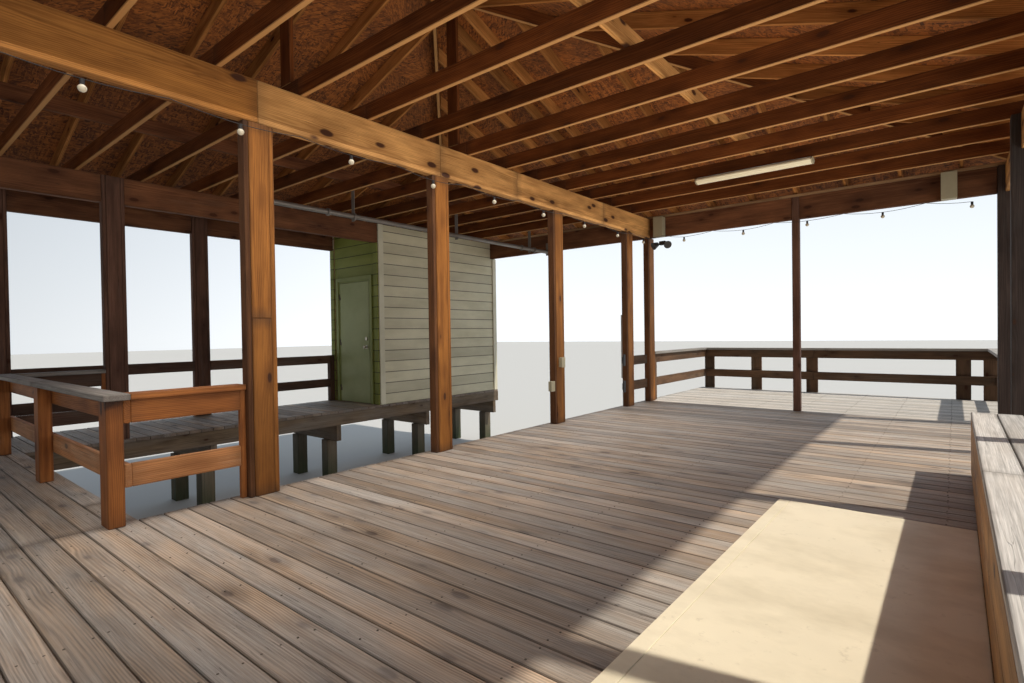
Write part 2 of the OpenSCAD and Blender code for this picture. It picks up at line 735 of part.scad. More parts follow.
// The hoist's shaft under the joists over the slip, with its hangers, collars and winder
module boat_hoist() color("#6d6f70") {
    y0 = joist_face(winder_bay);
    y1 = header_in - seat;
    z0 = shaft_z - wheel_r;
    translate([shaft_x, y0, shaft_z]) rotate([-90, 0, 0]) {
        cylinder(r = shaft_r, h = y1 - y0, $fn = 24);
        translate([0, 0, strap_t]) cylinder(r = wheel_r, h = wheel_t, $fn = 48);
        for (d = [1.4, 2, 7.6, 8.2]) translate([0, 0, d * rafter_pitch])
            cylinder(r = 1.5 * shaft_r, h = shaft_r, $fn = 24);
    }
    block(shaft_x - winder_w / 2, shaft_x + winder_w / 2, y0, y0 + strap_t, z0, z0 + winder_h);
    translate([shaft_x, y0 + motor_r, z0 + winder_h - motor_h])
        cylinder(r = motor_r, h = motor_h, $fn = 32);
    for (y = [for (i = hanger_bays) joist_face(i)])
        block(shaft_x - strap_w / 2, shaft_x + strap_w / 2, y, y + strap_t,
            shaft_z - strap_w, bear_z + ceiling_d / 2);
    block(shaft_x - strap_w / 2, shaft_x + strap_w / 2, y1 - strap_t, y1,
        shaft_z - strap_w, under_z + beam_d / 2);
}

piles();
pile_beams();
near_deck_frame();
main_deck_frame();
walkway_frame();
near_deck();
main_deck();
lake_deck();
walkway_deck();
centre_posts();
slip_left_posts();
outer_left_posts();
right_posts();
end_posts();
centre_beam();
slip_left_beam();
outer_left_beam();
right_beam();
end_headers();
near_rafters();
far_rafters();
end_rafters();
joist_ties();
hip_rafters();
roof_boarding();
metal_roof();
ridge_cap();
eaves_boards();
room_slip_wall();
room_outer_wall();
room_far_wall();
room_door_wall();
door_head_wall();
room_trim();
door_frame();
door_leaf();
door_handle();
slip_rail();
walkway_rail();
lake_rail();
bench();
floor_panel();
roof_fittings();
grab_bars();
boat_hoist();
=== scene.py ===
# %% [markdown]
# # Dressing a timber boathouse
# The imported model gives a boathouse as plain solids: piles, decks, posts, beams, a hipped roof
# of joists and rafters, a storage room and rails. This lesson turns them into sawn and weathered
# timber, painted siding and ribbed metal, as the photograph shows them. Each step says what the
# piece is on the real building, how it could be made, and why this way was chosen.

import math
import random

import bpy
import numpy as np
from mathutils import Matrix, Vector


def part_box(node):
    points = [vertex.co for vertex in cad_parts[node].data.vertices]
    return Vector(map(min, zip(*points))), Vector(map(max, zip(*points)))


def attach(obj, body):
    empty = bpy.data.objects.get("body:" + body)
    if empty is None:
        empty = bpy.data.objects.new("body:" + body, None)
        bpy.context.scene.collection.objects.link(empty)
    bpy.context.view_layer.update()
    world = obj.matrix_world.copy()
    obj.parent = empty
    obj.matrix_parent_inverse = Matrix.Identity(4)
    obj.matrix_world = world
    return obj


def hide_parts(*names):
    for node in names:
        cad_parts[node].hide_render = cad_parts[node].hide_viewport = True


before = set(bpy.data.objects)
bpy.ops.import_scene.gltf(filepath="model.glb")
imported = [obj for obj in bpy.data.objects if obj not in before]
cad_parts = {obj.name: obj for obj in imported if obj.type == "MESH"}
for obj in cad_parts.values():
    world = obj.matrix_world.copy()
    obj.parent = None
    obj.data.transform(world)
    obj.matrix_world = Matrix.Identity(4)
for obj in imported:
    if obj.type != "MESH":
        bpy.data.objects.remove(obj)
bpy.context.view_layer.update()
lumber_yard = random.Random(11)

# %% [markdown]
# ## The camera's place
# The picture was taken from inside, at about chest height over the deck, looking across the slip
# towards the far end. A camera could be placed by eye, but its yaw, pitch and roll were solved
# from the lines of the beams and boards, so it is turned by exactly those three angles.

# %% Camera
yaw, pitch, roll = (math.radians(angle) for angle in (39.0, -0.77, -0.85))
bpy.ops.object.camera_add()
camera = bpy.context.object
camera.name = "standing_camera"
camera.matrix_world = (Matrix.Translation((4.05, -4.30, 2.22))
                       @ Matrix.Rotation(yaw, 4, "Z")
                       @ Matrix.Rotation(math.pi / 2 + pitch, 4, "X")
                       @ Matrix.Rotation(roll, 4, "Z"))
camera.data.sensor_width = 36
camera.data.lens = 19.23
camera.data.clip_end = 300
bpy.context.scene.camera = camera
print("camera at", tuple(round(c, 2) for c in camera.matrix_world.translation))

# %% [markdown]
# ## A kit for finishes
# Every surface gets a finish of its own, made from procedural noise. Node trees are long to
# write by hand, so a few short helpers add a node, a sum, a colour ramp or a mix, and link it.

# %% Node helpers
def add(tree, kind, inputs=None, **settings):
    """Adds a node, sets what is given and links any socket among its inputs."""
    new = tree.nodes.new(kind)
    for key, value in settings.items():
        setattr(new, key, value)
    for key, value in (inputs or {}).items():
        if isinstance(value, bpy.types.NodeSocket):
            tree.links.new(value, new.inputs[key])
        else:
            new.inputs[key].default_value = value
    return new


def calc(tree, operation, a, b=0.0):
    return add(tree, "ShaderNodeMath", {0: a, 1: b}, operation=operation).outputs[0]


def times(tree, a, b):
    return calc(tree, "MULTIPLY", a, b)


def plus(tree, first, *others):
    """The sum of two or more values."""
    for other in others:
        first = calc(tree, "ADD", first, other)
    return first


def fit(tree, value, low, high, to_low=0.0, to_high=1.0):
    """Maps a range of values to another one."""
    return add(tree, "ShaderNodeMapRange", {"Value": value, "From Min": low, "From Max": high,
               "To Min": to_low, "To Max": to_high}).outputs[0]


def ramp(tree, value, stops):
    """A colour ramp from (position, colour) stops; a colour may be one grey number."""
    new = add(tree, "ShaderNodeValToRGB", {"Fac": value})
    band = new.color_ramp
    while len(band.elements) < len(stops):
        band.elements.new(0.5)
    for element, (position, colour) in zip(band.elements, stops):
        if isinstance(colour, (int, float)):
            colour = (colour,) * 3
        element.position = position
        element.color = (*colour, 1)
    return new.outputs["Color"]


def blend(tree, share, a, b, kind="MIX"):
    """Mixes two colours, each of them a socket or three numbers."""
    a, b = (c if isinstance(c, bpy.types.NodeSocket) else (*c, 1) for c in (a, b))
    return add(tree, "ShaderNodeMix", {6: a, 7: b, 0: share}, data_type="RGBA",
               blend_type=kind).outputs[2]


def tinted(tree, colour, tint):
    return blend(tree, 1.0, colour, tint, "MULTIPLY")


def vector(tree, operation, *values):
    return add(tree, "ShaderNodeVectorMath", dict(enumerate(values)),
               operation=operation).outputs[0]


def noise(tree, place, stretch, detail=3.0, rough=0.55):
    """Noise that is stretched by three scales, in cycles a metre."""
    return add(tree, "ShaderNodeTexNoise", {"Vector": vector(tree, "MULTIPLY", place, stretch),
               "Scale": 1.0, "Detail": detail, "Roughness": rough}).outputs["Fac"]


def split(tree, value):
    return add(tree, "ShaderNodeSeparateXYZ", {0: value}).outputs


def notes(tree, *names):
    """The vectors that a piece carries under these names."""
    return [add(tree, "ShaderNodeAttribute", attribute_name=name).outputs["Vector"]
            for name in names]


def raised(tree, height, strength, distance):
    """Lifts the surface a little where the height is large."""
    bump = add(tree, "ShaderNodeBump", {"Height": height, "Strength": strength,
               "Distance": distance})
    tree.links.new(bump.outputs[0], tree.nodes["Principled BSDF"].inputs["Normal"])


def new_finish(name):
    """An empty finish, with its node tree and its shader."""
    finish = bpy.data.materials.new(name)
    finish.use_nodes = True
    return finish, finish.node_tree, finish.node_tree.nodes["Principled BSDF"]


print("node helpers ready")

# %% [markdown]
# ## Floor and light
# The building stands alone on a plain pale floor at the level of its pile feet. Its light is a
# soft surround, bright towards the far end and dim at the near one, because that is what leaves
# the roof timber dark and the deck bright in the photograph. A sun from the right lays the warm
# band across the deck. The photograph opens up the shade, so three broad panels that don't show
# themselves do the same: one at the right, one under the joists and one just over the deck,
# which faces up like the warm light off the boards. A single lamp inside would be simpler, but
# its hard spot would show on the nearest beam.

# %% Stage
bpy.context.scene.view_settings.view_transform = "Standard"

pale, _, shader = new_finish("floor_pale")
shader.inputs["Base Color"].default_value = (0.54, 0.54, 0.53, 1)
shader.inputs["Roughness"].default_value = 0.8

bpy.ops.mesh.primitive_plane_add(size=240)
floor = bpy.context.object
floor.name = "pale_floor"
floor.data.materials.append(pale)

world = bpy.data.worlds.new("soft_surround")
bpy.context.scene.world = world
world.use_nodes = True
sky = world.node_tree
surround = sky.nodes["Background"]
direction = split(sky, add(sky, "ShaderNodeTexCoord").outputs["Generated"])
far_end = fit(sky, direction["Y"], -0.35, 0.55, 0.42, 1.0)
overhead = fit(sky, direction["Z"], 0.0, 0.6, 1.0, 0.62)
hue = ramp(sky, direction["Z"], [(0.0, (0.93, 0.97, 1.0)), (0.6, (0.74, 0.86, 1.0))])
sky.links.new(hue, surround.inputs["Color"])
sky.links.new(times(sky, times(sky, far_end, overhead), 1.15), surround.inputs["Strength"])

bpy.ops.object.light_add(type="SUN")
sun = bpy.context.object
sun.name = "broad_sun"
sun.matrix_world = Vector((1, 0.2, 1.434)).to_track_quat("Z", "Y").to_matrix().to_4x4()
sun.data.energy = 3.4
sun.data.angle = math.radians(1.2)
sun.data.color = (1.0, 0.92, 0.80)


def soft_panel(name, place, target, size, power, spread, colour=(1.0, 0.95, 0.88)):
    """A large light panel at place that faces target and isn't seen itself."""
    bpy.ops.object.light_add(type="AREA")
    panel = bpy.context.object
    panel.name = name
    aim = (Vector(place) - Vector(target)).to_track_quat("Z", "Y").to_matrix().to_4x4()
    panel.matrix_world = Matrix.Translation(place) @ aim
    panel.data.shape = "RECTANGLE"
    panel.data.size, panel.data.size_y = size
    panel.data.energy = power
    panel.data.color = colour
    panel.data.spread = math.radians(spread)
    panel.visible_camera = False


soft_panel("fill_right", (6.6, -1.2, 1.5), (-1.0, -0.2, 2.9), (8.0, 1.8), 85, 110)
soft_panel("fill_over_deck", (0.8, -1.0, 3.70), (0.3, -1.0, 0.0), (8.4, 1.6), 75, 120)
soft_panel("fill_off_deck", (2.3, -0.6, 1.16), (2.2, -0.6, 3.0), (7.6, 3.0), 50, 130,
           (1.0, 0.80, 0.58))
print("floor and lights ready")

# %% [markdown]
# ## Sawn timber
# Pine shows growth rings, fine fibres, knots with dark rims, blotches, drying cracks and, out of
# doors, a grey skin and dirt along its edges, where a darker rim also paints the shade in the gaps
# between boards. A flat image would repeat, so the wood is solid here. Each plank carries three
# notes of its own: the spot on the plank, half of its sizes and its place in the log. So no two
# look alike, and its edges and ends can darken by themselves.

# %% Timber finish
def timber_finish(name, light, dark, grey=(0.36, 0.33, 0.30), worn=0.3, rough=0.72, knots=0.13,
                  knot_colour=(0.06, 0.02, 0.008), dirt=0.35, feet=0.25, cracks=0.6, spread=0.25,
                  low=None, under=None, sheen=0.25, figure=0.13, rim=0.016):
    """Wood between two tones with knots, rings and cracks, and a grey skin over its worn share.

    Planks differ by spread. Dirt and painted shade lie in the rim along the edges, and feet
    darkens the ends.
    Under is a painted highlight on faces that look down, and low is the colour of the part near
    the floor.
    """
    finish, tree, shader = new_finish(name)
    spot, half, shift = notes(tree, "plank_spot", "plank_half", "log_place")
    tone = add(tree, "ShaderNodeAttribute", attribute_name="plank_tone").outputs["Fac"]
    shade = fit(tree, tone, 0.0, 1.0, 1.0 - spread, 1.0 + spread)
    place = vector(tree, "ADD", spot, shift)
    inward = split(tree, vector(tree, "SUBTRACT", half, vector(tree, "ABSOLUTE", spot)))

    cells = vector(tree, "MULTIPLY", place, (2.9, 6.6, 1.1))
    knot = add(tree, "ShaderNodeTexVoronoi", {"Vector": cells, "Scale": 1.0}).outputs["Distance"]
    wobble = noise(tree, place, (14.0, 34.0, 34.0), 2.0)
    knot = plus(tree, knot, times(tree, wobble, 0.05))
    around = ramp(tree, knot, [(knots, 1.0), (min(knots * 3.4, 0.9), 0.0)])
    core = ramp(tree, knot, [(knots * 0.85, 1.0), (knots * 1.2, 0.0)])

    sway = noise(tree, place, (0.9, 5.0, 5.0), 2.0)
    push = plus(tree, times(tree, sway, 24.0), times(tree, around, 4.0))
    squeezed = vector(tree, "MULTIPLY", place, (0.9, 30.0, 30.0))
    rings = add(tree, "ShaderNodeTexWave", {"Vector": squeezed, "Scale": 1.0, "Phase Offset": push,
                "Distortion": 0.8, "Detail": 2.0, "Detail Scale": 1.6},
                wave_type="RINGS", rings_direction="X").outputs["Fac"]
    fibre = noise(tree, place, (4.0, 210.0, 210.0), 3.0, 0.65)
    streak = noise(tree, place, (1.1, 75.0, 75.0), 4.0, 0.6)
    blotch = noise(tree, place, (1.3, 8.0, 8.0), 4.0, 0.6)
    grain = plus(tree, times(tree, rings, figure), times(tree, fibre, 0.30),
                 times(tree, streak, 0.27), times(tree, blotch, 0.34))
    wood = ramp(tree, grain, [(0.34, dark), (0.72, light)])
    wood = blend(tree, times(tree, around, 0.55), wood, [c * 0.8 for c in dark])
    wood = blend(tree, core, wood, knot_colour)
    wood = tinted(tree, tinted(tree, wood, shade), fit(tree, blotch, 0.3, 0.7, 0.78, 1.16))

    patch = noise(tree, place, (0.8, 5.0, 5.0), 5.0, 0.65)
    skin = fit(tree, patch, 0.70 - worn * 0.55, 0.95 - worn * 0.45, 0.0, 0.88)
    bleached = blend(tree, fit(tree, plus(tree, streak, fibre), 0.75, 1.25),
                     [c * 0.66 for c in grey], [min(c * 1.3, 1.0) for c in grey])
    wood = blend(tree, skin, wood, tinted(tree, bleached, shade))

    line = noise(tree, place, (1.6, 60.0, 60.0), 1.0)
    crack = ramp(tree, calc(tree, "ABSOLUTE", calc(tree, "SUBTRACT", line, 0.5)),
                 [(0.0, 1.0), (0.011, 0.0)])
    crack = times(tree, crack, ramp(tree, patch, [(0.46, 0.0), (0.62, cracks)]))
    wood = blend(tree, crack, wood, (0.02, 0.013, 0.01))
    # A darker rim along the long edges: partly dirt, partly painted shade in the gaps between
    # boards.
    arris = calc(tree, "MAXIMUM", inward["Y"], inward["Z"])
    edge = times(tree, fit(tree, arris, rim, 0.001), fit(tree, blotch, 0.25, 0.6, 0.35, 1.0))
    wood = blend(tree, times(tree, edge, dirt), wood, (0.035, 0.022, 0.015))
    end = times(tree, fit(tree, inward["X"], 0.09, 0.0), feet)
    wood = blend(tree, end, wood, (0.04, 0.025, 0.018))
    # Painted highlight: faces that look down turn towards the under colour, as if lit from below.
    if under is not None:
        facing = split(tree, add(tree, "ShaderNodeNewGeometry").outputs["Normal"])["Z"]
        wood = blend(tree, times(tree, fit(tree, facing, -0.5, -0.9), 0.75), wood, under)
    if low is not None:
        level = split(tree, add(tree, "ShaderNodeTexCoord").outputs["Object"])["Z"]
        wet = times(tree, fit(tree, level, 0.62, 0.08), fit(tree, patch, 0.3, 0.6, 0.5, 1.0))
        wood = blend(tree, wet, wood, low)

    tree.links.new(wood, shader.inputs["Base Color"])
    dull = fit(tree, grain, 0.3, 0.8, min(rough + 0.12, 1.0), rough - 0.06)
    tree.links.new(dull, shader.inputs["Roughness"])
    shader.inputs["Specular IOR Level"].default_value = sheen
    raised(tree, calc(tree, "SUBTRACT", grain, times(tree, crack, 2.0)), 0.5, 0.003)
    return finish


print("timber recipe ready")

# %% [markdown]
# ## Timbers of the building
# Old and new, sunny and shaded timber differ so much here that one wood for all would look like a
# model kit. So every kind of member has its own two tones, judged beside the photograph, and its
# own share of grey skin: most on the deck and the caps, least on rafters and joists.

# %% Timbers of the building
deck_wood = timber_finish("weathered_deck", (0.52, 0.380, 0.26), (0.172, 0.122, 0.085), dirt=0.8,
                          grey=(0.40, 0.375, 0.345), worn=0.66, rough=0.60, spread=0.26, feet=0.5,
                          knots=0.17, knot_colour=(0.10, 0.06, 0.04), sheen=0.45, figure=0.26,
                          rim=0.006)
# The far deck is paler partly from weathering and partly as painted sunlight.
lake_deck_sunlit_wood = timber_finish("weathered_sunlit_deck", (0.64, 0.56, 0.46), (0.34, 0.29, 0.235), dirt=0.9,
                               grey=(0.58, 0.555, 0.52), worn=0.85, rough=0.7, spread=0.16,
                               figure=0.2, rim=0.006)
post_wood = timber_finish("orange_post", (0.42, 0.17, 0.033), (0.155, 0.050, 0.008), worn=0.05,
                          grey=(0.24, 0.12, 0.05), rough=0.58, feet=0.5, spread=0.22)
# A darker copy of the post wood for the near cheeks: painted shade on the posts' shaded side.
cheek_shade_wood = timber_finish("shaded_cheek", (0.15, 0.062, 0.022), (0.06, 0.022, 0.008), worn=0.05,
                           grey=(0.12, 0.07, 0.04), feet=0.5)
# A darker copy of the post wood for the posts along the slip, the outer line and the ends: painted
# shade.
post_shade_wood = timber_finish("shaded_post", (0.19, 0.095, 0.062), (0.07, 0.034, 0.023), worn=0.2,
                               grey=(0.12, 0.09, 0.075))
# An almost black copy for the right posts, seen against the light: painted shade.
backlit_post_shade_wood = timber_finish("backlit_post", (0.068, 0.046, 0.038), (0.028, 0.019, 0.016),
                                 worn=0.3, grey=(0.060, 0.055, 0.052))
beam_wood = timber_finish("knotty_beam", (0.80, 0.44, 0.155), (0.33, 0.145, 0.040), worn=0.15,
                          grey=(0.33, 0.19, 0.08), knots=0.19, spread=0.15, feet=0.35)
# A darker copy of the beam wood for the near lengths of the centre beam: painted shade.
near_beam_shade_wood = timber_finish("shaded_beam", (0.50, 0.22, 0.050), (0.18, 0.064, 0.012), worn=0.12,
                               grey=(0.27, 0.14, 0.05), knots=0.18, spread=0.10)
# A darker copy of the beam wood for the left beams, the end headers and the left ties: painted
# shade.
beam_shade_wood = timber_finish("shaded_reddish_beam", (0.26, 0.108, 0.045), (0.09, 0.031, 0.014),
                               worn=0.15, grey=(0.16, 0.09, 0.055), knots=0.16)
# The pale under colour of the joists is a painted highlight of light from below.
joist_wood = timber_finish("ceiling_joist", (0.20, 0.062, 0.015), (0.065, 0.018, 0.005), worn=0.06,
                           grey=(0.17, 0.08, 0.035), spread=0.30, knots=0.14, sheen=0.12,
                           under=(0.60, 0.33, 0.13))
rafter_wood = timber_finish("rafter_pine", (0.60, 0.27, 0.080), (0.25, 0.092, 0.024), worn=0.05,
                            grey=(0.26, 0.12, 0.05), spread=0.32, sheen=0.12)
plate_wood = timber_finish("pale_plate", (0.50, 0.32, 0.17), (0.26, 0.14, 0.065), worn=0.2)
rail_wood = timber_finish("guard_rail", (0.48, 0.175, 0.042), (0.19, 0.058, 0.014), worn=0.18,
                          grey=(0.30, 0.19, 0.11), rough=0.6, knots=0.16)
low_rail_wood = timber_finish("guard_low_board", (0.62, 0.29, 0.115), (0.30, 0.115, 0.038),
                              worn=0.30, grey=(0.42, 0.29, 0.19), rough=0.6, knots=0.15)
# A dark copy of the rail wood for boards in deep shade: painted shade.
rail_shade_wood = timber_finish("shaded_rail", (0.16, 0.09, 0.06), (0.06, 0.032, 0.022), worn=0.35,
                               grey=(0.12, 0.10, 0.085))
# A dark copy for the far rail, seen against the bright lake: painted shade.
lake_rail_shade_wood = timber_finish("backlit_lake_rail", (0.17, 0.095, 0.052), (0.065, 0.034, 0.018),
                               worn=0.35, grey=(0.12, 0.10, 0.075))
cap_wood = timber_finish("grey_cap", (0.36, 0.31, 0.26), (0.16, 0.13, 0.105), worn=0.85,
                         grey=(0.34, 0.325, 0.305), cracks=0.9)
pile_wood = timber_finish("wet_pile", (0.24, 0.17, 0.11), (0.09, 0.065, 0.04), worn=0.6,
                          grey=(0.20, 0.18, 0.15), low=(0.045, 0.06, 0.028))
frame_wood = timber_finish("under_deck", (0.30, 0.22, 0.14), (0.12, 0.08, 0.05), worn=0.55,
                           grey=(0.24, 0.21, 0.18))
fascia_wood = timber_finish("stained_fascia", (0.17, 0.085, 0.05), (0.07, 0.03, 0.018), worn=0.25,
                            grey=(0.16, 0.12, 0.10))
bench_wood = timber_finish("yellow_bench", (0.64, 0.34, 0.10), (0.31, 0.13, 0.032), worn=0.12,
                           grey=(0.45, 0.31, 0.17), rough=0.5, knots=0.15)
bench_top_wood = timber_finish("grey_bench_top", (0.62, 0.58, 0.53), (0.29, 0.265, 0.235),
                               worn=0.9, grey=(0.58, 0.565, 0.545), cracks=0.4, dirt=0.7)
print("timber finishes ready")

# %% [markdown]
# ## Strand board
# Strand board is pressed from flat flakes, so it shows short overlapping patches in many browns.
# One layer of stretched cells would give flakes that never cross, so two layers are turned apart
# and cut into each other, with broad stains over them.

# %% Strand board
def strand_board_finish(name, pale, deep):
    """Flakes between two browns: two layers of cells, turned apart and cut into each other."""
    finish, tree, shader = new_finish(name)
    spot, shift = notes(tree, "plank_spot", "log_place")
    place = vector(tree, "ADD", spot, shift)
    flakes = []
    for angle, scale in ((0.35, (13.0, 60.0, 13.0)), (-0.5, (52.0, 15.0, 13.0))):
        turned = add(tree, "ShaderNodeMapping", {"Vector": place, "Rotation": (0, 0, angle),
                     "Scale": scale}).outputs[0]
        cells = add(tree, "ShaderNodeTexVoronoi", {"Vector": turned, "Scale": 1.0})
        grey = add(tree, "ShaderNodeSeparateColor", {0: cells.outputs["Color"]}).outputs[0]
        flakes.append(add(tree, "ShaderNodeCombineColor", {0: grey, 1: grey, 2: grey}).outputs[0])
    which = ramp(tree, noise(tree, place, (40, 40, 40), 1.0), [(0.44, 0.0), (0.56, 1.0)])
    flake = plus(tree, times(tree, blend(tree, which, *flakes), 0.7),
                 times(tree, noise(tree, place, (90, 90, 90), 3.0), 0.3))
    middle = [0.5 * (a + b) for a, b in zip(pale, deep)]
    colour = ramp(tree, flake, [(0.15, deep), (0.5, middle), (0.85, pale)])
    stain = noise(tree, place, (0.9, 0.9, 0.9), 4.0, 0.65)
    stain = ramp(tree, stain, [(0.35, 0.6), (0.7, 1.1)])
    tree.links.new(tinted(tree, colour, stain), shader.inputs["Base Color"])
    shader.inputs["Roughness"].default_value = 0.75
    raised(tree, flake, 0.3, 0.001)
    return finish


strand_board = strand_board_finish("strand_board", (0.50, 0.165, 0.030), (0.085, 0.022, 0.004))
wall_board = strand_board_finish("wall_strand_board", (0.56, 0.36, 0.18), (0.28, 0.15, 0.07))
print("strand board ready")

# %% [markdown]
# ## Paint and metal
# Paint is nearly even, with dirt in broad soft patches, fine brush marks and a slight roller
# texture, and on lap siding a painted shadow line under each board. Steel gets a soft sheen that
# dust breaks up. Plain flat colours would look like plastic, so one recipe with different shares
# of dirt serves all of them.

# %% Paint, enamel, plastic and metal
DECK_Z, LAP = 1.10, 0.178


def coated_finish(name, colour, dirt, share=0.35, rough=0.5, metal=0.0, streaks=(1.2, 1.2, 1.2),
                  relief=0.15, black_before=None, laps=None):
    """An even colour with dirt over a share of it, in patches that streaks can stretch.

    It is black before a place along Y, and laps apart a painted shadow line runs under each board.
    """
    finish, tree, shader = new_finish(name)
    place = add(tree, "ShaderNodeTexCoord").outputs["Object"]
    body = blend(tree, noise(tree, place, (3.1, 3.1, 3.1), 2.0), [c * 0.90 for c in colour],
                 [min(c * 1.07, 1.0) for c in colour])
    if black_before is not None:
        before = calc(tree, "LESS_THAN", split(tree, place)["Y"], black_before)
        body = blend(tree, before, body, (0.015, 0.015, 0.016))
    grime = noise(tree, place, streaks, 5.0, 0.65)
    grime = ramp(tree, grime, [(0.5 - share * 0.2, 0.0), (0.78, 1.0)])
    grime = times(tree, grime, min(0.35 + share, 1.0))
    specks = noise(tree, place, (22.0, 22.0, 22.0), 3.0, 0.7)
    specks = ramp(tree, specks, [(0.60, 0.0), (0.74, share)])
    grime = calc(tree, "MAXIMUM", grime, specks)
    body = blend(tree, grime, body, dirt)
    if laps is not None:
        over_deck = calc(tree, "SUBTRACT", split(tree, place)["Z"], DECK_Z)
        course = calc(tree, "DIVIDE", over_deck, laps)
        own = add(tree, "ShaderNodeTexWhiteNoise", {"W": calc(tree, "FLOOR", course)},
                  noise_dimensions="1D").outputs["Value"]
        body = tinted(tree, body, fit(tree, own, 0.0, 1.0, 0.86, 1.10))
        # Painted shadow: a dark band just below the foot of each siding board.
        lap_shadow = ramp(tree, calc(tree, "FRACT", course), [(0.0, 0.0), (0.90, 0.0), (0.955, 0.9)])
        body = blend(tree, lap_shadow, body, [c * 0.12 for c in colour])
    tree.links.new(body, shader.inputs["Base Color"])
    fine = noise(tree, place, (160, 160, 160), 2.0)
    dull = fit(tree, plus(tree, grime, times(tree, fine, 0.3)), 0.0, 1.0, rough - 0.06,
               min(rough + 0.3, 1.0))
    tree.links.new(dull, shader.inputs["Roughness"])
    shader.inputs["Metallic"].default_value = metal
    raised(tree, fine, relief, 0.0008)
    return finish


roof_paint = coated_finish("roof_metal_paint", (0.27, 0.075, 0.045), (0.16, 0.10, 0.075), 0.4,
                           0.38, 0.25, (6.0, 0.35, 6.0))
siding_paint = coated_finish("cream_siding", (0.66, 0.62, 0.45), (0.42, 0.39, 0.26), 0.35, 0.62,
                             0.0, (0.8, 0.8, 3.2), laps=LAP)
green_paint = coated_finish("green_siding", (0.24, 0.27, 0.045), (0.14, 0.165, 0.028), 0.35, 0.6,
                            0.0, (0.8, 0.8, 3.2), laps=LAP)
trim_paint = coated_finish("cream_trim", (0.70, 0.67, 0.52), (0.45, 0.42, 0.29), 0.3, 0.55)
frame_paint = coated_finish("green_door_frame", (0.27, 0.31, 0.09), (0.17, 0.195, 0.06), 0.3, 0.5)
door_paint = coated_finish("grey_green_door", (0.37, 0.41, 0.18), (0.25, 0.28, 0.12), 0.3, 0.5)
panel_paint = coated_finish("worn_panel_paint", (0.88, 0.80, 0.61), (0.52, 0.46, 0.33), 0.36, 0.5,
                            0.0, (1.6, 2.4, 2.0), 0.5)
cream_plastic = coated_finish("cream_plastic", (0.97, 0.90, 0.68), (0.70, 0.62, 0.42), 0.12, 0.35)
# A darkened copy of the box colour: painted shade on the boxes and the strip light's end caps.
box_shade_plastic = coated_finish("shaded_box", (0.40, 0.365, 0.25), (0.26, 0.22, 0.14), 0.3, 0.5)
white_enamel = coated_finish("white_enamel", (0.70, 0.70, 0.68), (0.40, 0.38, 0.33), 0.2, 0.3)
zinc_coat = coated_finish("zinc_coat", (0.24, 0.225, 0.21), (0.14, 0.10, 0.07), 0.4, 0.5, 0.55,
                          black_before=-1.34)
black_coat = coated_finish("black_coat", (0.022, 0.022, 0.024), (0.07, 0.06, 0.05), 0.25, 0.5)
knob_metal = coated_finish("satin_knob", (0.58, 0.54, 0.45), (0.30, 0.26, 0.18), 0.3, 0.28, 1.0)
screw_metal = coated_finish("dull_screw", (0.15, 0.125, 0.10), (0.09, 0.06, 0.045), 0.5, 0.6, 0.3)
bulb_glass = coated_finish("clouded_bulb", (0.66, 0.61, 0.48), (0.45, 0.38, 0.26), 0.15, 0.2)
print("paint and metal finishes ready")

# %% [markdown]
# ## One plank, cut many times
# Nearly all of the building is sawn lumber with eased edges. Bevelling hundreds of boxes one by
# one would be slow, so one short block is modelled with its edges eased, and each plank is a copy
# of it. A copy is cut to size by moving its ends and sides outwards, which keeps the edge radius,
# and it takes its notes for the finish before it is laid on the building.

# %% Stock block and the saw
def new_form(operator, **sizes):
    """Adds a primitive with nothing else selected and returns its object."""
    bpy.ops.object.select_all(action="DESELECT")
    operator(**sizes)
    return bpy.context.object


def ease_edges(offset):
    """Gives every edge of the form that was just added one small bevel."""
    bpy.ops.object.mode_set(mode="EDIT")
    bpy.ops.mesh.select_all(action="SELECT")
    bpy.ops.mesh.bevel(offset=offset, segments=1, affect="EDGES")
    bpy.ops.object.mode_set(mode="OBJECT")


stock = new_form(bpy.ops.mesh.primitive_cube_add, size=1)
ease_edges(0.004)
stock.name = "stock_block"
stock_points = np.array([v.co for v in stock.data.vertices])


def note(mesh, name, kind, values):
    field = "value" if kind == "FLOAT" else "vector"
    mesh.attributes.new(name, kind, "POINT").data.foreach_set(field, np.asarray(values).ravel())


def cut_plank(sizes, where, finish, ease=1.0):
    """A copy of the stock, cut to length, width and thickness and laid by a matrix."""
    half = np.array(sizes) / 2
    points = np.sign(stock_points) * (half - (0.5 - np.abs(stock_points)) * ease)
    count = (len(points), 1)
    log = [lumber_yard.uniform(0, 40),
           lumber_yard.uniform(0.03, 0.12) * lumber_yard.choice((-1, 1)),
           lumber_yard.uniform(0.01, 0.05)]
    mesh = stock.data.copy()
    mesh.vertices.foreach_set("co", points.ravel())
    note(mesh, "plank_spot", "FLOAT_VECTOR", points)
    note(mesh, "plank_half", "FLOAT_VECTOR", np.tile(half, count))
    note(mesh, "log_place", "FLOAT_VECTOR", np.tile(log, count))
    note(mesh, "plank_tone", "FLOAT", np.full(len(points), lumber_yard.random()))
    mesh.transform(where)
    mesh.materials.append(finish)
    return mesh


def box_plank(low, high, finish, along=None, ease=1.0):
    """A plank that fills a box, with its grain along its longest side unless told otherwise."""
    low, high = Vector(low), Vector(high)
    size = high - low
    order = sorted(range(3), key=lambda axis: -size[axis])
    if along is not None:
        order.sort(key=lambda axis: axis != "xyz".index(along))
    turn = Matrix([[float(axis == row) for axis in order] for row in range(3)])
    if turn.determinant() < 0:
        turn.col[2] = -turn.col[2]
    where = Matrix.Translation((low + high) / 2) @ turn.to_4x4()
    return cut_plank([size[axis] for axis in order], where, finish, ease)


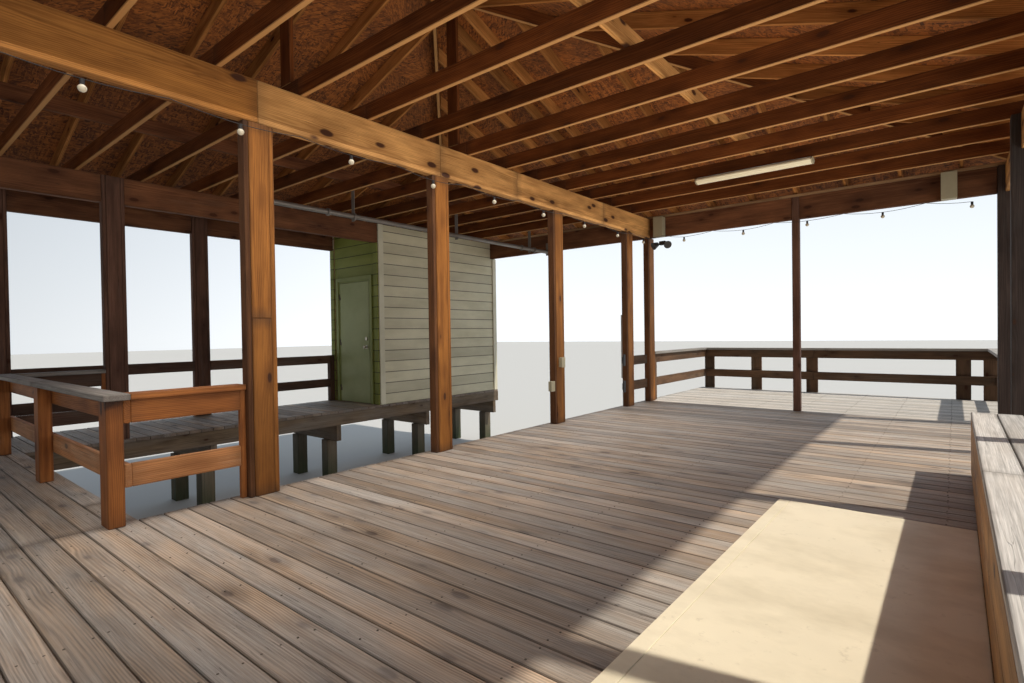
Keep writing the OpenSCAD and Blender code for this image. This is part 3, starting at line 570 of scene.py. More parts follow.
def assemble(name, meshes, slot, *nodes, body="building"):
    """Joins the meshes into one piece that rides on a body and stands for the CAD nodes."""
    bpy.ops.object.select_all(action="DESELECT")
    for mesh in meshes:
        part = bpy.data.objects.new(name, mesh)
        bpy.context.scene.collection.objects.link(part)
        part.select_set(True)
    bpy.context.view_layer.objects.active = part
    if len(meshes) > 1:
        bpy.ops.object.join()
    piece = bpy.context.view_layer.objects.active
    piece.name = name
    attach(piece, body)
    if nodes:
        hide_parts(*nodes)
    print(f"{name}: {len(meshes)} parts, {len(piece.data.polygons)} faces")


def solids(node):
    """The boxes of the separate solids in a CAD node, measured on a merged copy."""
    bpy.ops.object.select_all(action="DESELECT")
    copy = bpy.data.objects.new("measure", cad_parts[node].data.copy())
    bpy.context.scene.collection.objects.link(copy)
    copy.select_set(True)
    bpy.context.view_layer.objects.active = copy
    bpy.ops.object.mode_set(mode="EDIT")
    bpy.ops.mesh.select_all(action="SELECT")
    bpy.ops.mesh.remove_doubles(threshold=0.00005)
    bpy.ops.mesh.separate(type="LOOSE")
    bpy.ops.object.mode_set(mode="OBJECT")
    boxes = []
    for part in list(bpy.context.selected_objects):
        points = np.array([v.co for v in part.data.vertices])
        boxes.append((Vector(points.min(0)), Vector(points.max(0))))
        bpy.data.objects.remove(part)
    return sorted(boxes, key=lambda box: tuple(round(c, 3) for c in box[0]))


def ends(low, high, x=None, y=None, z=None):
    """A box with some of its ranges changed."""
    low, high = low.copy(), high.copy()
    for axis, pair in enumerate((x, y, z)):
        if pair is not None:
            low[axis], high[axis] = pair
    return low, high


def box_planks(node, finish):
    """A plank for each solid of a CAD node."""
    return [box_plank(*box, finish) for box in solids(node)]


print("stock block:", len(stock.data.polygons), "faces")

# %% [markdown]
# ## Piles and framing under the deck
# Square piles carry doubled beams, and joists lie over them between rim planks. They are seen
# from the sides and through the slip, so each is a plank of its own with dark, damp feet, and
# not one block with painted lines.

# %% Under the deck
PLANK, TOUCH, JOIST_PITCH = 0.038, 0.0005, 0.61

assemble("pile_timbers", box_planks("piles", pile_wood), "pile_timber", "piles")

planks = []
for low, high in solids("pile_beams"):
    middle = (low.y + high.y) / 2
    for y in ((low.y, middle - 0.0004), (middle + 0.0004, high.y)):
        planks.append(box_plank(*ends(low, high, y=y), frame_wood))
assemble("pile_beam_plies", planks, "frame_timber", "pile_beams")


def joist_places(low, high):
    """Where the joists under a deck start along X, in even bays from edge to edge."""
    bays = math.ceil((high.x - low.x - PLANK) / JOIST_PITCH)
    step = (high.x - low.x - PLANK) / bays
    return [low.x + bay * step for bay in range(bays + 1)]


for node in ("near_deck_frame", "main_deck_frame", "walkway_frame"):
    low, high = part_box(node)
    planks = [box_plank(*ends(low, high, y=(y, y + PLANK)), frame_wood)
              for y in (low.y, high.y - PLANK)]
    between_rims = low.y + PLANK + TOUCH, high.y - PLANK - TOUCH
    planks += [box_plank(*ends(low, high, x=(x, x + PLANK), y=between_rims), frame_wood)
               for x in joist_places(low, high)]
    assemble(node + "_planks", planks, "frame_timber", node)

# %% [markdown]
# ## Deck boards
# The decks are 2 by 6 boards across the building, a nail's width apart, and each fifth row of
# the near deck is butted one joist further over than the others. A single slab with painted
# lines would have no gaps to look through, so each board is a plank, a hair higher or lower than
# its neighbour. Two screws hold it at every joist; one small eight-sided head is copied for all.

# %% Decks
BOARD_PITCH, BOARD_GAP, BUTT_GAP = 0.1384, 0.0056, 0.0012
screw_heads = []


def board_rows(node, seams, finish):
    """Rows of boards along X over a deck's box, butted at the seams, with screws over joists."""
    low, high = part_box(node)
    rows = round((high.y - low.y) / BOARD_PITCH)
    pitch = (high.y - low.y) / rows
    boards = []
    for row in range(rows):
        y0 = low.y + row * pitch + BOARD_GAP / 2
        y1 = y0 + pitch - BOARD_GAP
        stops = [low.x, *(seams if row % 5 else [s - JOIST_PITCH for s in seams]), high.x]
        for x0, x1 in zip(stops, stops[1:]):
            dip = lumber_yard.uniform(0.0008, 0.0026)
            ragged = x1 == high.x and node != "lake_deck"
            trim = lumber_yard.uniform(0, 0.006) if ragged else 0
            boards.append(box_plank((x0 + BUTT_GAP, y0, low.z),
                                    (x1 - BUTT_GAP - trim, y1, high.z - dip), finish))
        for x in joist_places(low, high):
            for share in (0.22, 0.78):
                screw_heads.append((x + PLANK / 2 + lumber_yard.uniform(-0.006, 0.006),
                                    y0 + share * pitch + lumber_yard.uniform(-0.006, 0.006),
                                    high.z))
    assemble(node + "_boards", boards, "deck_timber", node)


board_rows("near_deck", [0.08], deck_wood)
board_rows("main_deck", [], deck_wood)
board_rows("lake_deck", [], lake_deck_sunlit_wood)
board_rows("walkway_deck", [], deck_wood)


def copy_of(form, finish, where):
    """A copy of a small form with its finish, laid by a matrix."""
    mesh = form.data.copy()
    mesh.materials.append(finish)
    mesh.transform(where)
    return mesh


screw = new_form(bpy.ops.mesh.primitive_cone_add, vertices=8, radius1=0.0050, radius2=0.0043,
                 depth=0.0035, end_fill_type="NGON")
screws = [copy_of(screw, screw_metal, Matrix.Translation((x, y, z - 0.00185)))
          for x, y, z in screw_heads]
bpy.data.objects.remove(screw)
assemble("deck_screws", screws, "deck_timber")

# %% [markdown]
# ## Posts
# The posts along the slip are built up from a 2 by 6 core between two narrow cheeks, so dark
# seams run up their faces. Boxes with painted seams would look flat at their feet, so each is
# three planks. The first one past the slip's head has a butt joint in its face board.

# %% Posts
CORE_HALF, CHEEK_SEAM, FACE_BACK = 0.07, 0.0012, 0.004


def built_posts(node, finish, joint=None, shaded_near_cheek=None):
    """Posts of two cheeks, a face board and a core, one post with a joint in its face board; the
    near cheek can take a darker finish of painted shade.
    """
    planks = []
    for number, (low, high) in enumerate(solids(node)):
        y = (low.y + high.y) / 2
        core = (y - CORE_HALF, y + CORE_HALF)
        cheek = (low.x, high.x - FACE_BACK)
        seam = CORE_HALF + CHEEK_SEAM
        planks += [box_plank(*ends(low, high, x=cheek, y=(low.y, y - seam)), shaded_near_cheek or finish),
                   box_plank(*ends(low, high, x=cheek, y=(y + seam, high.y)), finish)]
        stops = [low.z, 2.36, high.z] if number == joint else [low.z, high.z]
        for z0, z1 in zip(stops, stops[1:]):
            face, back = (high.x - PLANK, high.x), (low.x, high.x - PLANK - 0.001)
            planks += [box_plank(*ends(low, high, x=face, y=core, z=(z0, z1 - 0.001)), finish),
                       box_plank(*ends(low, high, x=back, y=core, z=(z0, z1)), finish)]
    return planks


# The near cheek of each centre post takes the painted-shade finish.
assemble("centre_post_planks", built_posts("centre_posts", post_wood, 2, cheek_shade_wood),
         "post_timber", "centre_posts")
# Posts along the slip and the outer line take the painted-shade copy of the post wood.
assemble("slip_post_planks", built_posts("slip_left_posts", post_shade_wood), "dark_post_timber",
         "slip_left_posts")
assemble("outer_post_planks", built_posts("outer_left_posts", post_shade_wood),
         "dark_post_timber", "outer_left_posts")
# The right posts take the backlit painted-shade copy, the end posts the shaded one.
for node, finish in (("right_posts", backlit_post_shade_wood), ("end_posts", post_shade_wood)):
    assemble(node + "_planks", box_planks(node, finish), "post_timber", node)

# %% [markdown]
# ## Beams
# Each beam is two 2 by 12 planks side by side. Their butt joints are where the light changes on
# the long centre beam, so the face planks are cut at those places and the back ones elsewhere, and
# the first length of each ply there takes a darker finish as painted shade.
# One long box per beam would be quicker, but it would hide how the beam is made.

# %% Beams
UNDER_Z, BEAR_Z, HALF_W = 3.740, 4.045, 4.572


def doubled_beam(box, finish, thin_axis, face_cuts=(), back_cuts=(), first=None):
    """Two plies of a beam, each cut at its own places along the beam."""
    low, high = box
    long_axis = 1 - thin_axis
    middle = (low[thin_axis] + high[thin_axis]) / 2
    planks = []
    for side, cuts in ((0, back_cuts), (1, face_cuts)):
        stops = [low[long_axis], *cuts, high[long_axis]]
        for number, (start, end) in enumerate(zip(stops, stops[1:])):
            ply_low, ply_high = low.copy(), high.copy()
            ply_low[long_axis], ply_high[long_axis] = start, end - 0.0015
            ply_low[thin_axis] = middle + 0.0003 if side else low[thin_axis]
            ply_high[thin_axis] = high[thin_axis] if side else middle - 0.0003
            planks.append(box_plank(ply_low, ply_high, first if first and not number else finish))
    return planks


centre = solids("centre_beam")[0]
# The first length of each ply takes the painted-shade copy of the beam wood.
assemble("centre_beam_plies", doubled_beam(centre, beam_wood, 0, (-2.39, -0.62, 0.57, 2.51),
         (-2.39, 1.38), near_beam_shade_wood), "beam_timber", "centre_beam")
for node, finish in (("slip_left_beam", beam_shade_wood), ("outer_left_beam", beam_shade_wood),
                     ("right_beam", beam_wood)):
    planks = [ply for box in solids(node) for ply in doubled_beam(box, finish, 0)]
    assemble(node + "_plies", planks, "beam_timber", node)

# %% [markdown]
# ## Headers across the ends
# The headers lie in line with the end posts and between them, so each bay has its own pair of
# planks, and a flat plate runs over all of them in three lengths. The same saw serves again: it
# only needs the spans from post to post.

# %% End headers
FAR_SPANS = [(-3.2297, 0.2), (0.201, 2.3067), (2.3963, 4.4317)]
NEAR_SPANS = [(-4.4827, -3.3193), *FAR_SPANS]
planks = []
for line, outward, spans in ((-6.31, -1, NEAR_SPANS), (4.06, 1, FAR_SPANS)):
    for x0, x1 in spans:
        low = Vector((x0, line - PLANK, UNDER_Z))
        high = Vector((x1, line + PLANK, BEAR_Z))
        planks += doubled_beam((low, high), beam_shade_wood, 1)
    y0, y1 = sorted((line + outward * PLANK, line - outward * 0.051))
    for x0, x1 in ((-HALF_W, -1.5), (-1.499, 2.15), (2.151, HALF_W)):
        planks.append(box_plank((x0, y0, BEAR_Z), (x1, y1, BEAR_Z + PLANK), plate_wood))
assemble("end_header_plies", planks, "beam_timber", "end_headers")

# %% [markdown]
# ## Roof frame
# The hipped roof is the building's finest work. Joists cross from side to side at beam height,
# rafters stand over them in the same planes, and at both ends shorter rafters turn outwards and
# meet the hips. Planks could be turned by hand into each slope, one by one. Here a leaning plank
# is described once in a slope's own frame, and the slope's frame lays it. The plank is sheared
# and not turned, which leaves its ends plumb, as a saw cuts them.

# %% A slope's own frame
RISE, EAVE_X, MID_Y, HALF_RIDGE = 4 / 12, 4.912, -1.125, 0.651
RAFTER_V = 0.140 * math.hypot(1, RISE)
HEEL = PLANK + RAFTER_V + 0.0003
SLOPES = {"right": (0, 0, HALF_RIDGE), "left": (0, 180, HALF_RIDGE),
          "lake": (HALF_RIDGE, 90, 0), "shore": (-HALF_RIDGE, -90, 0)}


def roof_z(x):
    return BEAR_Z + HEEL + RISE * (HALF_W - abs(x))


def slope_frame(name):
    shift, degrees, _ = SLOPES[name]
    return (Matrix.Translation((0, MID_Y + shift, 0))
            @ Matrix.Rotation(math.radians(degrees), 4, "Z"))


def leaning_plank(x0, x1, depth, top, fall, thick, finish, on_edge=True, ease=1.0, y=0.0):
    """A plank along +X whose top starts at height top over x = 0 and falls by fall a metre."""
    sizes, turn = [x1 - x0, thick, depth], Matrix.Identity(4)
    if on_edge:
        sizes = [x1 - x0, depth, thick]
        turn = Matrix(((1, 0, 0, 0), (0, 0, -1, 0), (0, 1, 0, 0), (0, 0, 0, 1)))
    lean = Matrix.Identity(4)
    lean[2][0] = -fall
    middle = (x0 + x1) / 2
    spot = Matrix.Translation((middle, y, top - fall * middle - depth / 2))
    return cut_plank(sizes, spot @ lean @ turn, finish, ease)


def laid(mesh, where):
    mesh.transform(where)
    return mesh


def rafter(start, y, slope, thick=PLANK):
    """A rafter from start to the eave, at y across one slope's own frame."""
    plank = leaning_plank(start, EAVE_X, RAFTER_V, roof_z(0), RISE, thick, rafter_wood, y=y)
    return laid(plank, slope_frame(slope))


print("ridge at", round(roof_z(0), 3))

# %% [markdown]
# ## Joists, rafters and hips
# A joist in two lengths meets over the centre beam, and a pair of rafters stands over it, leaning
# on the ridge board in the middle and on a hip further out. A single carved solid would have no
# planks to look between, so all of them are cut one by one at their own lengths.

# %% Joists, rafters and hips
FIRST_LINE, LAST_BAY, KING_POST_BAYS = -6.31, 17, (7, 10)
JOIST_TOP = BEAR_Z + 0.140
FROM_HIP, FROM_RIDGE = 0.0275, 0.0194

for node, bays in (("near_rafters", range(1, 9)), ("far_rafters", range(9, LAST_BAY))):
    planks = []
    for bay in bays:
        y = FIRST_LINE + bay * JOIST_PITCH
        y0, y1 = y - PLANK / 2, y + PLANK / 2
        across = abs(y - MID_Y)
        for x0, x1 in ((-HALF_W, 0.18), (0.182, HALF_W)):
            planks.append(box_plank((x0, y0, BEAR_Z), (x1, y1, JOIST_TOP), joist_wood))
        start = across - HALF_RIDGE + FROM_HIP if across > HALF_RIDGE else FROM_RIDGE
        planks += [rafter(start, sign * (y - MID_Y), slope, PLANK * 0.997)
                   for slope, sign in (("right", 1), ("left", -1))]
        if bay in KING_POST_BAYS:
            top = roof_z(across + PLANK / 2 - HALF_RIDGE) - 0.0005
            planks.append(box_plank((-0.07, y0, JOIST_TOP), (0.07, y1, top), joist_wood))
    assemble(node + "_planks", planks, "rafter_timber", node)

places = [0.135] + [0.588 * i for i in range(1, 8)]
planks = [rafter(y + FROM_HIP, sign * y, slope) for slope in ("lake", "shore")
          for y in places for sign in (-1, 1)]
assemble("end_rafter_planks", planks, "rafter_timber", "end_rafters")

RIDGE_DROP = RISE * (PLANK / 2 + 0.0003)
ridge_top = roof_z(0) - RIDGE_DROP
planks = [box_plank((-PLANK / 2, MID_Y - HALF_RIDGE, ridge_top - 0.184),
                    (PLANK / 2, MID_Y + HALF_RIDGE, ridge_top), rafter_wood)]
for sign in (-1, 1):
    for degrees in (45, 135):
        hip = leaning_plank(0.02, EAVE_X * math.sqrt(2) - 0.0195, RAFTER_V - RIDGE_DROP,
                            ridge_top, RISE / math.sqrt(2), PLANK, joist_wood)
        planks.append(laid(hip, Matrix.Translation((0, MID_Y + sign * HALF_RIDGE, 0))
                           @ Matrix.Rotation(math.radians(sign * degrees), 4, "Z")))
assemble("ridge_and_hips", planks, "rafter_timber", "hip_rafters")
# Ties left of the centre take the painted-shade copy of the beam wood.
planks = [box_plank(*box, beam_wood if box[0].x > 0 else beam_shade_wood)
          for box in solids("joist_ties")]
assemble("joist_tie_planks", planks, "rafter_timber", "joist_ties")

# %% [markdown]
# ## Roof boarding
# Strand boards lie over the rafters in staggered rows, and their edges show from below. One large
# panel would hide those joints, so each sheet is laid by itself, 3 mm from the next, and the last
# in a row is cut along the hip.

# %% Boarding
SHEATH_V = 0.012 * math.hypot(1, RISE)
ROW, SHEET_GAP, HIP_GAP, PAST_ANY_HIP = 1.157, 0.003, 0.0007, 9.0
sheets = []
for name, (_, _, half_top) in SLOPES.items():
    x, row = 0.0, 0
    while x < EAVE_X - 0.01:
        x1 = min(x + ROW, EAVE_X)
        joints = (-2.44, 0, 2.44) if row % 2 else (-3.66, -1.22, 1.22, 3.66)
        joints = [y for y in joints if abs(y) < half_top + x - 0.15]
        stops = [-PAST_ANY_HIP, *joints, PAST_ANY_HIP]
        for y0, y1 in zip(stops, stops[1:]):
            y0, y1 = max(y0, -half_top - x1), min(y1, half_top + x1)
            mesh = leaning_plank(max(x, 0.0006), x1 - SHEET_GAP, SHEATH_V, roof_z(0) + SHEATH_V,
                                 RISE, y1 - y0 - SHEET_GAP, strand_board, on_edge=False,
                                 ease=0.25, y=(y0 + y1) / 2)
            for vertex in mesh.vertices:
                limit = half_top + vertex.co.x - HIP_GAP
                vertex.co.y = min(max(vertex.co.y, -limit), limit)
            sheets.append(laid(mesh, slope_frame(name)))
        x, row = x1, row + 1
assemble("roof_sheets", sheets, "strand_board", "roof_boarding")

# %% [markdown]
# ## Metal and eaves
# The ribbed metal over the boarding keeps the shape that it already has and only gets its paint.
# Screws could be dots in that paint, but they catch the light at a low angle, so a small head is
# copied beside each rib, in rows 0.8 m apart. The eaves end in plain boards on edge.

# %% Metal and eaves
RIB_PITCH, BESIDE_RIB, METAL_OVER_BOARD = 0.229, 0.045, 0.0060


def paint(node, finish):
    """Gives a CAD node that is kept as it is its finish."""
    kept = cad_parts[node]
    for place in kept.material_slots:
        place.material = finish


paint("metal_roof", roof_paint)
paint("ridge_cap", roof_paint)

screw = new_form(bpy.ops.mesh.primitive_cone_add, vertices=8, radius1=0.008, radius2=0.005,
                 depth=0.006, end_fill_type="NGON")
lean = Matrix.Rotation(math.atan(RISE), 4, "Y")
screws = []
for name, (_, _, half_top) in SLOPES.items():
    ribs = int(2 * (EAVE_X + 0.04 + half_top - 0.003) / RIB_PITCH)
    for x in (0.5, 1.3, 2.1, 2.9, 3.7, 4.5):
        z = roof_z(x) + SHEATH_V + METAL_OVER_BOARD
        for rib in range(ribs):
            y = (rib - (ribs - 1) / 2) * RIB_PITCH + BESIDE_RIB
            if abs(y) < half_top + x - 0.20:
                spot = Matrix.Translation((x, y, z))
                screws.append(copy_of(screw, roof_paint, slope_frame(name) @ spot @ lean))
bpy.data.objects.remove(screw)
assemble("roof_screws", screws, "roof_metal")

low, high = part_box("eaves_boards")
between = low.y + PLANK + TOUCH, high.y - PLANK - TOUCH
planks = [box_plank(*ends(low, high, x=(x, x + PLANK), y=between), fascia_wood)
          for x in (low.x, high.x - PLANK)]
planks += [box_plank(*ends(low, high, x=half, y=(y, y + PLANK)), fascia_wood)
           for y in (low.y, high.y - PLANK) for half in ((low.x, -0.001), (0.001, high.x))]
assemble("eaves_planks", planks, "fascia_timber", "eaves_boards")

# %% [markdown]
# ## Storage room
# The room's walls are lap siding over boarding. Each siding board leans in at its top and stands
# proud at its foot, so every joint throws a thin shadow line; a bump pattern on a flat wall would
# give no shadow at its edges. The siding paint adds a painted shadow line under each board as
# well. Inside are bare strand boards, which show when the door is open.

# %% Walls
SIDING_T, BOARD_TALL, FOOT_PROUD = 0.011, 0.196, 0.010
RIGHT, LEFT, FAR, NEAR = (1, 0, 0), (-1, 0, 0), (0, 1, 0), (0, -1, 0)


def siding(start, end, outward, bottom, top, finish):
    """Lap boards from start to end, two points at a wall's outer face, over a range of heights."""
    up = Vector((0, 0, 1))
    run = up.cross(outward)
    length = abs((end - start).dot(run))
    tilt = math.atan(FOOT_PROUD / LAP)
    up_leaning = up * math.cos(tilt) - outward * math.sin(tilt)
    face = outward * math.cos(tilt) + up * math.sin(tilt)
    turn = Matrix((run, up_leaning, face)).transposed().to_4x4()
    boards, foot = [], DECK_Z
    while foot < top - 0.02:
        low, high = max(foot, bottom), min(foot + BOARD_TALL, top)
        if high - low > 0.03:
            tall = (high - low) / math.cos(tilt) - 0.0008
            inset = tall / 2 * math.sin(tilt) + SIDING_T / 2 * math.cos(tilt) + 0.0003
            middle = (start + end) / 2 - outward * inset
            middle.z = (low + high) / 2
            boards.append(cut_plank([length, tall, SIDING_T], Matrix.Translation(middle) @ turn,
                                    finish, 0.4))
        foot += LAP
    return boards


def wall(x0, x1, y0, y1, outward, finish, bottom=DECK_Z):
    """A wall over its plan: lap siding outside, a painted core, and bare boards inside."""
    low, high, outward = Vector((x0, y0, bottom)), Vector((x1, y1, BEAR_Z)), Vector(outward)
    axis = 0 if outward.x else 1
    face = high[axis] if outward[axis] > 0 else low[axis]
    core, inside, inner = (face - outward[axis] * depth for depth in (0.0232, 0.0975, 0.110))
    pair = [None, None]
    pair[axis] = tuple(sorted((core, inside)))
    planks = [box_plank(*ends(low, high, *pair), finish, ease=0.2)]
    pair[axis] = tuple(sorted((inside - outward[axis] * 0.0003, inner)))
    begin, end = low[1 - axis], high[1 - axis]
    count = max(1, round((end - begin) / 1.22))
    step = (end - begin) / count
    for i in range(count):
        pair[1 - axis] = (begin + i * step + 0.001, begin + (i + 1) * step - 0.001)
        planks.append(box_plank(*ends(low, high, *pair), wall_board, along="z", ease=0.2))
    first, last = low.copy(), high.copy()
    first[axis] = last[axis] = face
    return planks + siding(first, last, outward, bottom, BEAR_Z, finish)


assemble("slip_wall_siding", wall(-3.34, -3.23, 1.26, 4.18, RIGHT, siding_paint),
         "siding_paint", "room_slip_wall")
assemble("outer_wall_siding", wall(-4.572, -4.462, 1.26, 4.18, LEFT, siding_paint),
         "siding_paint", "room_outer_wall")
assemble("far_wall_siding", wall(-4.4618, -3.3402, 4.07, 4.18, FAR, siding_paint),
         "siding_paint", "room_far_wall")
planks = (wall(-4.4618, -4.3427, 1.26, 1.37, NEAR, green_paint)
          + wall(-3.4593, -3.3402, 1.26, 1.37, NEAR, green_paint))
assemble("door_wall_siding", planks, "siding_paint", "room_door_wall")
assemble("door_head_siding", wall(-4.3422, -3.4598, 1.26, 1.37, NEAR, green_paint, 3.172),
         "siding_paint", "door_head_wall")
planks = [box_plank(*box, trim_paint if box[1].x > -3.225 else green_paint)
          for box in solids("room_trim")]
assemble("corner_boards", planks, "trim_paint", "room_trim")

# %% [markdown]
# ## Door and hinges
# A flush door is a frame with a thin skin on each side, and its butt hinges share a pin: the leaf
# carries the lower halves and the frame the upper ones. The barrels are one short cylinder with
# eased rims, copied six times.

# %% Door
DOOR_MID, PIN_X, PIN_Y = -3.901, -4.31, 1.254
HINGE_FEET, HINGE_HALF, HALF_PITCH = (1.285, 2.071, 2.857), 0.0497, 0.0503
SIDES = ((0.4115, 0.4412, 1.26, 1.37, 3.1717), (0.3995, 0.4113, 1.309, 1.37, 3.142),
         (0.4385, 0.5015, 1.241, 1.2598, 3.169))
HEADS = ((0.4115, 1.26, 1.37, 3.142, 3.1717), (0.3995, 1.309, 1.37, 3.130, 3.142),
         (0.5015, 1.241, 1.2598, 3.1695, 3.232))


def frame_board(x0, x1, y0, y1, z0, z1):
    """A board of the door's frame: a jamb, a stop or a casing."""
    x0, x1 = sorted((DOOR_MID + x0, DOOR_MID + x1))
    return box_plank((x0, y0, z0), (x1, y1, z1), frame_paint, ease=0.4)


planks = [frame_board(side * inner, side * outer, y0, y1, DECK_Z, top)
          for side in (-1, 1) for inner, outer, y0, y1, top in SIDES]
planks += [frame_board(-half, half, *box) for half, *box in HEADS]

barrel = new_form(bpy.ops.mesh.primitive_cylinder_add, vertices=20, radius=0.006, depth=HINGE_HALF)
ease_edges(0.0008)


def hinge_half(side, foot):
    """A barrel on the pin, and a flap to one side of it."""
    x0, x1 = sorted((PIN_X, PIN_X + side * 0.024))
    where = Matrix.Translation((PIN_X, PIN_Y, foot + HINGE_HALF / 2))
    return [copy_of(barrel, screw_metal, where),
            box_plank((x0, 1.2571, foot), (x1, 1.2599, foot + HINGE_HALF), screw_metal, ease=0.12)]


for foot in HINGE_FEET:
    planks += hinge_half(-1, foot + HALF_PITCH)
assemble("door_frame_boards", planks, "trim_paint", "door_frame")

low, high = Vector((-4.3075, 1.26, 1.105)), Vector((-3.4945, 1.304, 3.137))
inset = Vector((0.0012, 0, 0.0012))
planks = [box_plank(*ends(*box, y=y), door_paint, along="z", ease=0.25)
          for box, y in (((low, high), (1.26, 1.2635)),
                         ((low + inset, high - inset), (1.2636, 1.3004)),
                         ((low, high), (1.3005, 1.304)))]
for foot in HINGE_FEET:
    planks += hinge_half(1, foot)
assemble("door_skins", planks, "door_paint", "door_leaf", body="door")
bpy.data.objects.remove(barrel)
paint("door_handle", knob_metal)

# %% [markdown]
# ## Rails
# The slip's guard, the walkway's rail and the far deck's rail are 2 by 6 boards on edge, fixed to
# posts under a flat cap. Their boards differ in colour because some are newer, and those in shade
# or against the light are darker as painted shade, so each board gets its own finish, and long
# caps are cut into two lengths.

# %% Rails
LOW_RAIL, TOP_RAIL, CAP_Z, CAP_TOP = (1.33, 1.47), (1.717, 1.857), 1.857, 1.895


def rail_pair(x0, x1, y0, y1, top, low=None):
    """A low and a top board over one stretch."""
    return [box_plank((x0, y0, z0), (x1, y1, z1), finish)
            for (z0, z1), finish in ((LOW_RAIL, low or top), (TOP_RAIL, top))]


def rail_post(x0, x1, y0, y1, finish=rail_wood):
    return box_plank((x0, y0, DECK_Z), (x1, y1, CAP_Z), finish)


def cap(x0, x1, y0, y1, finish=cap_wood):
    return box_plank((x0, y0, CAP_Z), (x1, y1, CAP_TOP), finish)


planks = [rail_post(x - 0.07, x + 0.07, -3.315, -3.226) for x in (-3.31, -1.6225, 0.105)]
for stretch in ((-3.38, -1.63, -3.2259, -3.188), (-1.628, 0.175, -3.2259, -3.188),
                (0.137, 0.175, -3.1878, -2.5365)):
    planks += rail_pair(*stretch, rail_wood, low_rail_wood)
# The boards along the slip's side take the painted-shade copy of the rail wood.
planks += rail_pair(-3.268, -3.23, -3.1878, -2.4765, rail_shade_wood)
planks += [rail_post(x, x + PLANK, y - PLANK, y) for x, y in ((0.137, -2.4983), (-3.268, -2.4383))]
planks += [cap(-3.395, -1.70, -3.33, -3.19), cap(-1.698, 0.19, -3.33, -3.19),
           cap(0.05, 0.19, -3.1895, -2.4983, rail_wood), cap(-3.355, -3.215, -3.1895, -2.4383)]
assemble("slip_guard_boards", planks, "rail_timber", "slip_rail")

# The walkway rail takes the painted-shade copy of the rail wood.
planks = [box_plank((-4.521, y0, z0), (-4.483, y1, z1), rail_shade_wood)
          for z0, z1 in ((1.345, 1.485), (1.755, CAP_TOP))
          for y0, y1 in ((-3.0267, -1.0483), (-0.8317, 1.1515))]
planks.append(box_plank((-4.572, 1.1519, DECK_Z), (-4.483, 1.2405, CAP_TOP), rail_shade_wood))
assemble("walkway_rail_boards", planks, "rail_timber", "walkway_rail")

# The far deck's rail takes the backlit painted-shade copy.
planks = []
for x0, x1 in ((0.144, 2.09), (2.092, 4.572)):
    planks += rail_pair(x0, x1, 6.634, 6.6718, lake_rail_shade_wood)
for x in (0.236, 1.12, 2.06, 4.152, 4.48):
    planks.append(rail_post(x - 0.092, x + 0.092, 6.672, 6.71, lake_rail_shade_wood))
planks += [cap(0.08, 2.30, 6.57, 6.71), cap(2.302, 4.572, 6.57, 6.71)]
for x, cap_x in ((0.144, 0.08), (4.534, 4.432)):
    planks += rail_pair(x, x + PLANK, 4.3085, 6.6335, lake_rail_shade_wood)
    planks += [rail_post(x, x + PLANK, 4.1683, 4.308, lake_rail_shade_wood),
               cap(cap_x, cap_x + 0.14, 4.1683, 6.5695)]
planks += rail_pair(0.144, 0.182, 3.4064, 3.9516, lake_rail_shade_wood)
assemble("lake_rail_boards", planks, "rail_timber", "lake_rail")

# %% [markdown]
# ## Bench and floor panel
# The built-in bench is a long box: two yellow boards on each side, a recessed strip at the foot
# whose dark finish is painted shade, and a grey weathered top of two boards. The painted panel
# lies loose on the deck with a narrow strip along its left edge. Both could be single boxes, but
# their joints catch the light, so each board and sheet is laid by itself.

# %% Bench and panel
x0, x1, y0, y1 = 4.1417, 4.4317, -4.40, 1.08
planks = []
for z0, z1 in ((1.128, 1.330), (1.338, 1.540)):
    for start, end in ((y0, -1.72), (-1.718, y1)):
        planks += [box_plank((x, start, z0), (x + PLANK, end, z1), bench_wood)
                   for x in (x0, x1 - PLANK)]
    planks += [box_plank((x0 + PLANK + TOUCH, y, z0), (x1 - PLANK - TOUCH, y + PLANK, z1),
                         bench_wood) for y in (y0 + 0.001, y1 - PLANK - 0.001)]
# Recessed strips at the bench's foot, in the painted-shade copy of the rail wood.
for x in (x0 + 0.012, x1 - 0.045):
    planks.append(box_plank((x, y0 + 0.012, DECK_Z), (x + 0.033, y1 - 0.012, 1.1275),
                            rail_shade_wood))
for left, right, joint in ((x0, x0 + 0.1425, -1.10), (x0 + 0.1475, x1, -2.60)):
    for start, end in ((y0, joint), (joint + 0.002, y1)):
        planks.append(box_plank((left, start, 1.5415), (right, end, 1.58), bench_top_wood))
assemble("bench_boards", planks, "bench_timber", "bench")

low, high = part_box("floor_panel")
planks = [box_plank(*ends(low, high, x=pair), panel_paint, ease=0.4)
          for pair in ((low.x, low.x + 0.065), (low.x + 0.0675, high.x))]
assemble("panel_sheets", planks, "floor_paint", "floor_panel")

# %% [markdown]
# ## Strip light and flat boxes
# A long strip light hangs under a ceiling joist: a white back, a cream cover and two end caps.
# A box with rounded edges would come near it, but its sides slope, so one outline of nine points
# is drawn and pulled to three lengths. Two flat boxes with lids and screws hang on the far beam.

